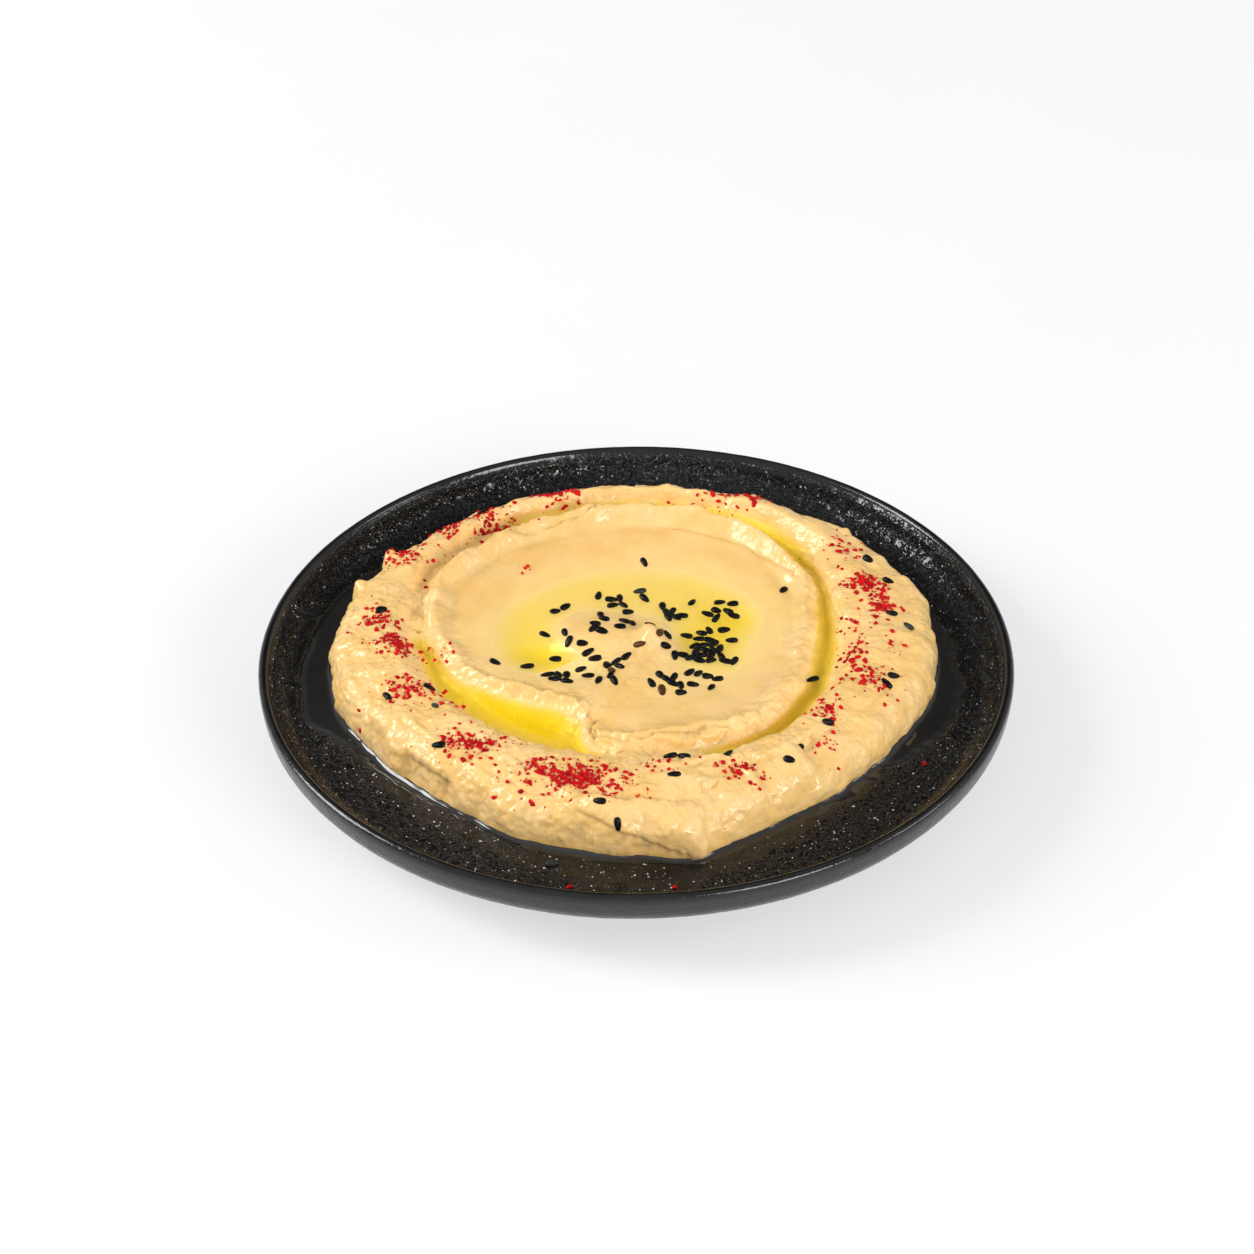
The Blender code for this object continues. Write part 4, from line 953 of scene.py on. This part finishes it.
def oil_look():
    look = Look("olive_oil")
    look.set(Base_Color=colour(1, 1, 1), Roughness=0.015, IOR=1.47, Transmission_Weight=1)
    look.bump(look.noise(9), 0.25, 0.35)
    out = look.tree.nodes["Material Output"]
    volume = look.node("ShaderNodeVolumeAbsorption", Color=colour(0.992, 0.972, 0), Density=600)
    look.tree.links.new(volume.outputs["Volume"], out.inputs["Volume"])
    return look.material


def thin_oil_look():
    """A film of oil over black glaze: dark and mirror-smooth."""
    look = Look("thin_oil")
    base = look.mix(look.noise(8), colour(0.012, 0.011, 0.010), colour(0.022, 0.022, 0.022))
    look.set(Base_Color=base, Roughness=0.03, IOR=1.47, Specular_IOR_Level=0.75)
    look.bump(look.noise(6), 0.2, 0.3)
    return look.material


def seed_look(name, low, high):
    look = Look(name)
    base = look.mix(look.mark("Red"), low, high)
    look.set(Base_Color=look.mix(look.span(look.noise(0.5), 0.4, 0.7), base, low),
             Roughness=look.span(look.noise(0.8), 0.3, 0.7, 0.14, 0.30), IOR=1.45,
             Specular_IOR_Level=0.14)
    look.bump(look.noise(0.45), 0.10, 0.8)
    return look.material


def sumac_look():
    look = Look("sumac")
    base = look.mix(look.mark("Red"), colour(0.30, 0.001, 0.004), colour(0.84, 0.010, 0.016))
    look.set(Base_Color=look.mix(look.span(look.noise(0.5), 0.35, 0.7), base, colour(0.52, 0.003, 0.007)),
             Roughness=0.42, Specular_IOR_Level=0.12, IOR=1.45, Subsurface_Weight=0.12, Subsurface_Scale=0.0006)
    look.bump(look.noise(0.3, 3), 0.12, 0.8)
    return look.material


def table_look():
    look = Look("white_table")
    base = look.mix(look.noise(60), colour(0.40, 0.40, 0.402), colour(0.42, 0.42, 0.422))
    look.set(Base_Color=base, Roughness=0.7, Emission_Color=colour(1, 1, 1), Emission_Strength=0.53)
    return look.material


# ---- Build ----

def let_light_in(piece):
    """Oil casts no shadow on what lies under it, so that a pool stays as light as in the photograph."""
    piece.visible_shadow = False
    piece.visible_diffuse = False


def build():
    plate = new_piece("dressed_plate", plate_mesh(), plate_look(), "plate", "plate")
    hummus = new_piece("dressed_hummus", hummus_mesh(), hummus_look(), "hummus", "hummus")
    bpy.context.view_layer.update()
    depsgraph = bpy.context.evaluated_depsgraph_get()
    bed = BVHTree.FromObject(hummus, depsgraph)
    oil = oil_look()
    surfaces = [bed, BVHTree.FromObject(plate, depsgraph)]
    for pool in POOLS:
        made = new_piece("dressed_" + pool[0], pool_mesh(pool, bed), oil, "oil", pool[0])
        let_light_in(made)
        bpy.context.view_layer.update()
        surfaces.append(BVHTree.FromObject(made, bpy.context.evaluated_depsgraph_get()))
    let_light_in(new_piece("plate_oil", puddle_mesh(), thin_oil_look(), "oil"))
    draw = random.Random(LAYING_SEED)
    kinds = [("black_seeds", BLACK_SEEDS, colour(0.003, 0.003, 0.003), colour(0.009, 0.008, 0.007)),
             ("brown_seeds", BROWN_SEEDS, colour(0.060, 0.026, 0.007), colour(0.10, 0.046, 0.013)),
             ("grey_seeds", GREY_SEEDS, colour(0.020, 0.020, 0.020), colour(0.06, 0.06, 0.058))]
    for name, seeds, low, high in kinds:
        places = []
        for x, y, way in seeds:
            long, way = SEED_LENGTH * draw.uniform(0.94, 1.14), way + draw.choice((0, 180))
            places.append((x, y, way, (long, SEED_WIDTH * draw.uniform(0.98, 1.2), SEED_THICKNESS)))
        mesh = laid_mesh(name, places, [seed_form()], surfaces, draw)
        new_piece(name, mesh, seed_look(name, low, high), "hummus").visible_shadow = False
    forms = [crumb_form(draw) for _ in range(CRUMB_KINDS)]
    flakes = []
    for x, y, way in topping_places():
        size = FLAKE_SIZE * draw.uniform(0.95, 1.5)
        flakes.append((x, y, way, (size, size * draw.uniform(0.45, 0.9), draw.uniform(0.4, 0.75))))
    sumac = sumac_look()
    new_piece("sumac_flakes", laid_mesh("sumac_flakes", flakes, forms, surfaces, draw), sumac, "hummus")
    dust = []
    for *heap, count in DUST_HEAPS:
        for _ in range(int(count * CRUMBS_PER_COUNT)):
            wide = CRUMB_SPREADS[0] if draw.random() < 0.5 else CRUMB_SPREADS[1]
            x, y = place_in_heap(draw, heap, wide, CRUMB_SPREAD_LIMIT)
            size = CRUMB_SIZE + CRUMB_SIZE_RANGE * draw.random() ** 2
            dust.append((x, y, draw.uniform(0, 180), (size, size * draw.uniform(0.4, 0.95), size * 0.45)))
    new_piece("sumac_dust", laid_mesh("sumac_dust", dust, forms, surfaces, draw), sumac, "hummus")


def set_stage():
    """The table, the camera and the lights."""
    table = bpy.data.meshes.new("table")
    corners = [(TABLE_HALF * x, TABLE_HALF * y, 0) for x, y in ((-1, -1), (1, -1), (1, 1), (-1, 1))]
    table.from_pydata(corners, [], [(0, 1, 2, 3)])
    table.materials.append(table_look())
    floor = bpy.data.objects.new("table", table)
    bpy.context.scene.collection.objects.link(floor)

    tilt, roll = math.radians(CAMERA_TILT), math.radians(CAMERA_ROLL)
    forward = Vector((0, math.cos(tilt), -math.sin(tilt)))
    level = Vector((1, 0, 0))
    upright = level.cross(forward)
    right = level * math.cos(roll) + upright * math.sin(roll)
    up = upright * math.cos(roll) - level * math.sin(roll)
    lens = bpy.data.cameras.new("camera")
    lens.lens, lens.sensor_width = LENS, SENSOR
    camera = bpy.data.objects.new("camera", lens)
    turn = Matrix((right, up, -forward)).transposed().to_4x4()
    camera.matrix_world = Matrix.Translation(Vector(CAMERA_AIM) - forward * CAMERA_AWAY) @ turn
    bpy.context.scene.collection.objects.link(camera)
    bpy.context.scene.camera = camera

    for name, way, away, wide, tall, power in SOFTBOXES:
        lamp = bpy.data.lights.new(name, "AREA")
        lamp.shape, lamp.size, lamp.size_y, lamp.energy = "RECTANGLE", wide, tall, power
        at = Vector(way).normalized()
        holder = bpy.data.objects.new(name, lamp)
        holder.matrix_world = Matrix.Translation(at * away) @ at.to_track_quat("Z", "Y").to_matrix().to_4x4()
        bpy.context.scene.collection.objects.link(holder)

    world = bpy.data.worlds.new("studio")
    world.use_nodes = True
    tree = world.node_tree
    way = tree.nodes.new("ShaderNodeTexCoord")
    glow = tree.nodes.new("ShaderNodeMath")
    glow.operation = "ADD"
    for socket, (middle, inner, outer, low, high) in zip(glow.inputs, STUDIO_GLOWS):
        towards = tree.nodes.new("ShaderNodeVectorMath")
        towards.operation = "DOT_PRODUCT"
        towards.inputs[1].default_value = Vector(middle).normalized()
        spread = tree.nodes.new("ShaderNodeMapRange")
        spread.interpolation_type = "SMOOTHSTEP"
        for key, number in (("From Min", math.cos(math.radians(outer))), ("From Max", math.cos(math.radians(inner))),
                            ("To Min", low), ("To Max", high)):
            spread.inputs[key].default_value = number
        tree.links.new(way.outputs["Generated"], towards.inputs[0])
        tree.links.new(towards.outputs["Value"], spread.inputs["Value"])
        tree.links.new(spread.outputs["Result"], socket)
    tree.links.new(glow.outputs[0], tree.nodes["Background"].inputs["Strength"])
    tree.nodes["Background"].inputs["Color"].default_value = (1, 1, 1, 1)
    bpy.context.scene.world = world
    bpy.context.scene.view_settings.view_transform = "Standard"


build()
set_stage()
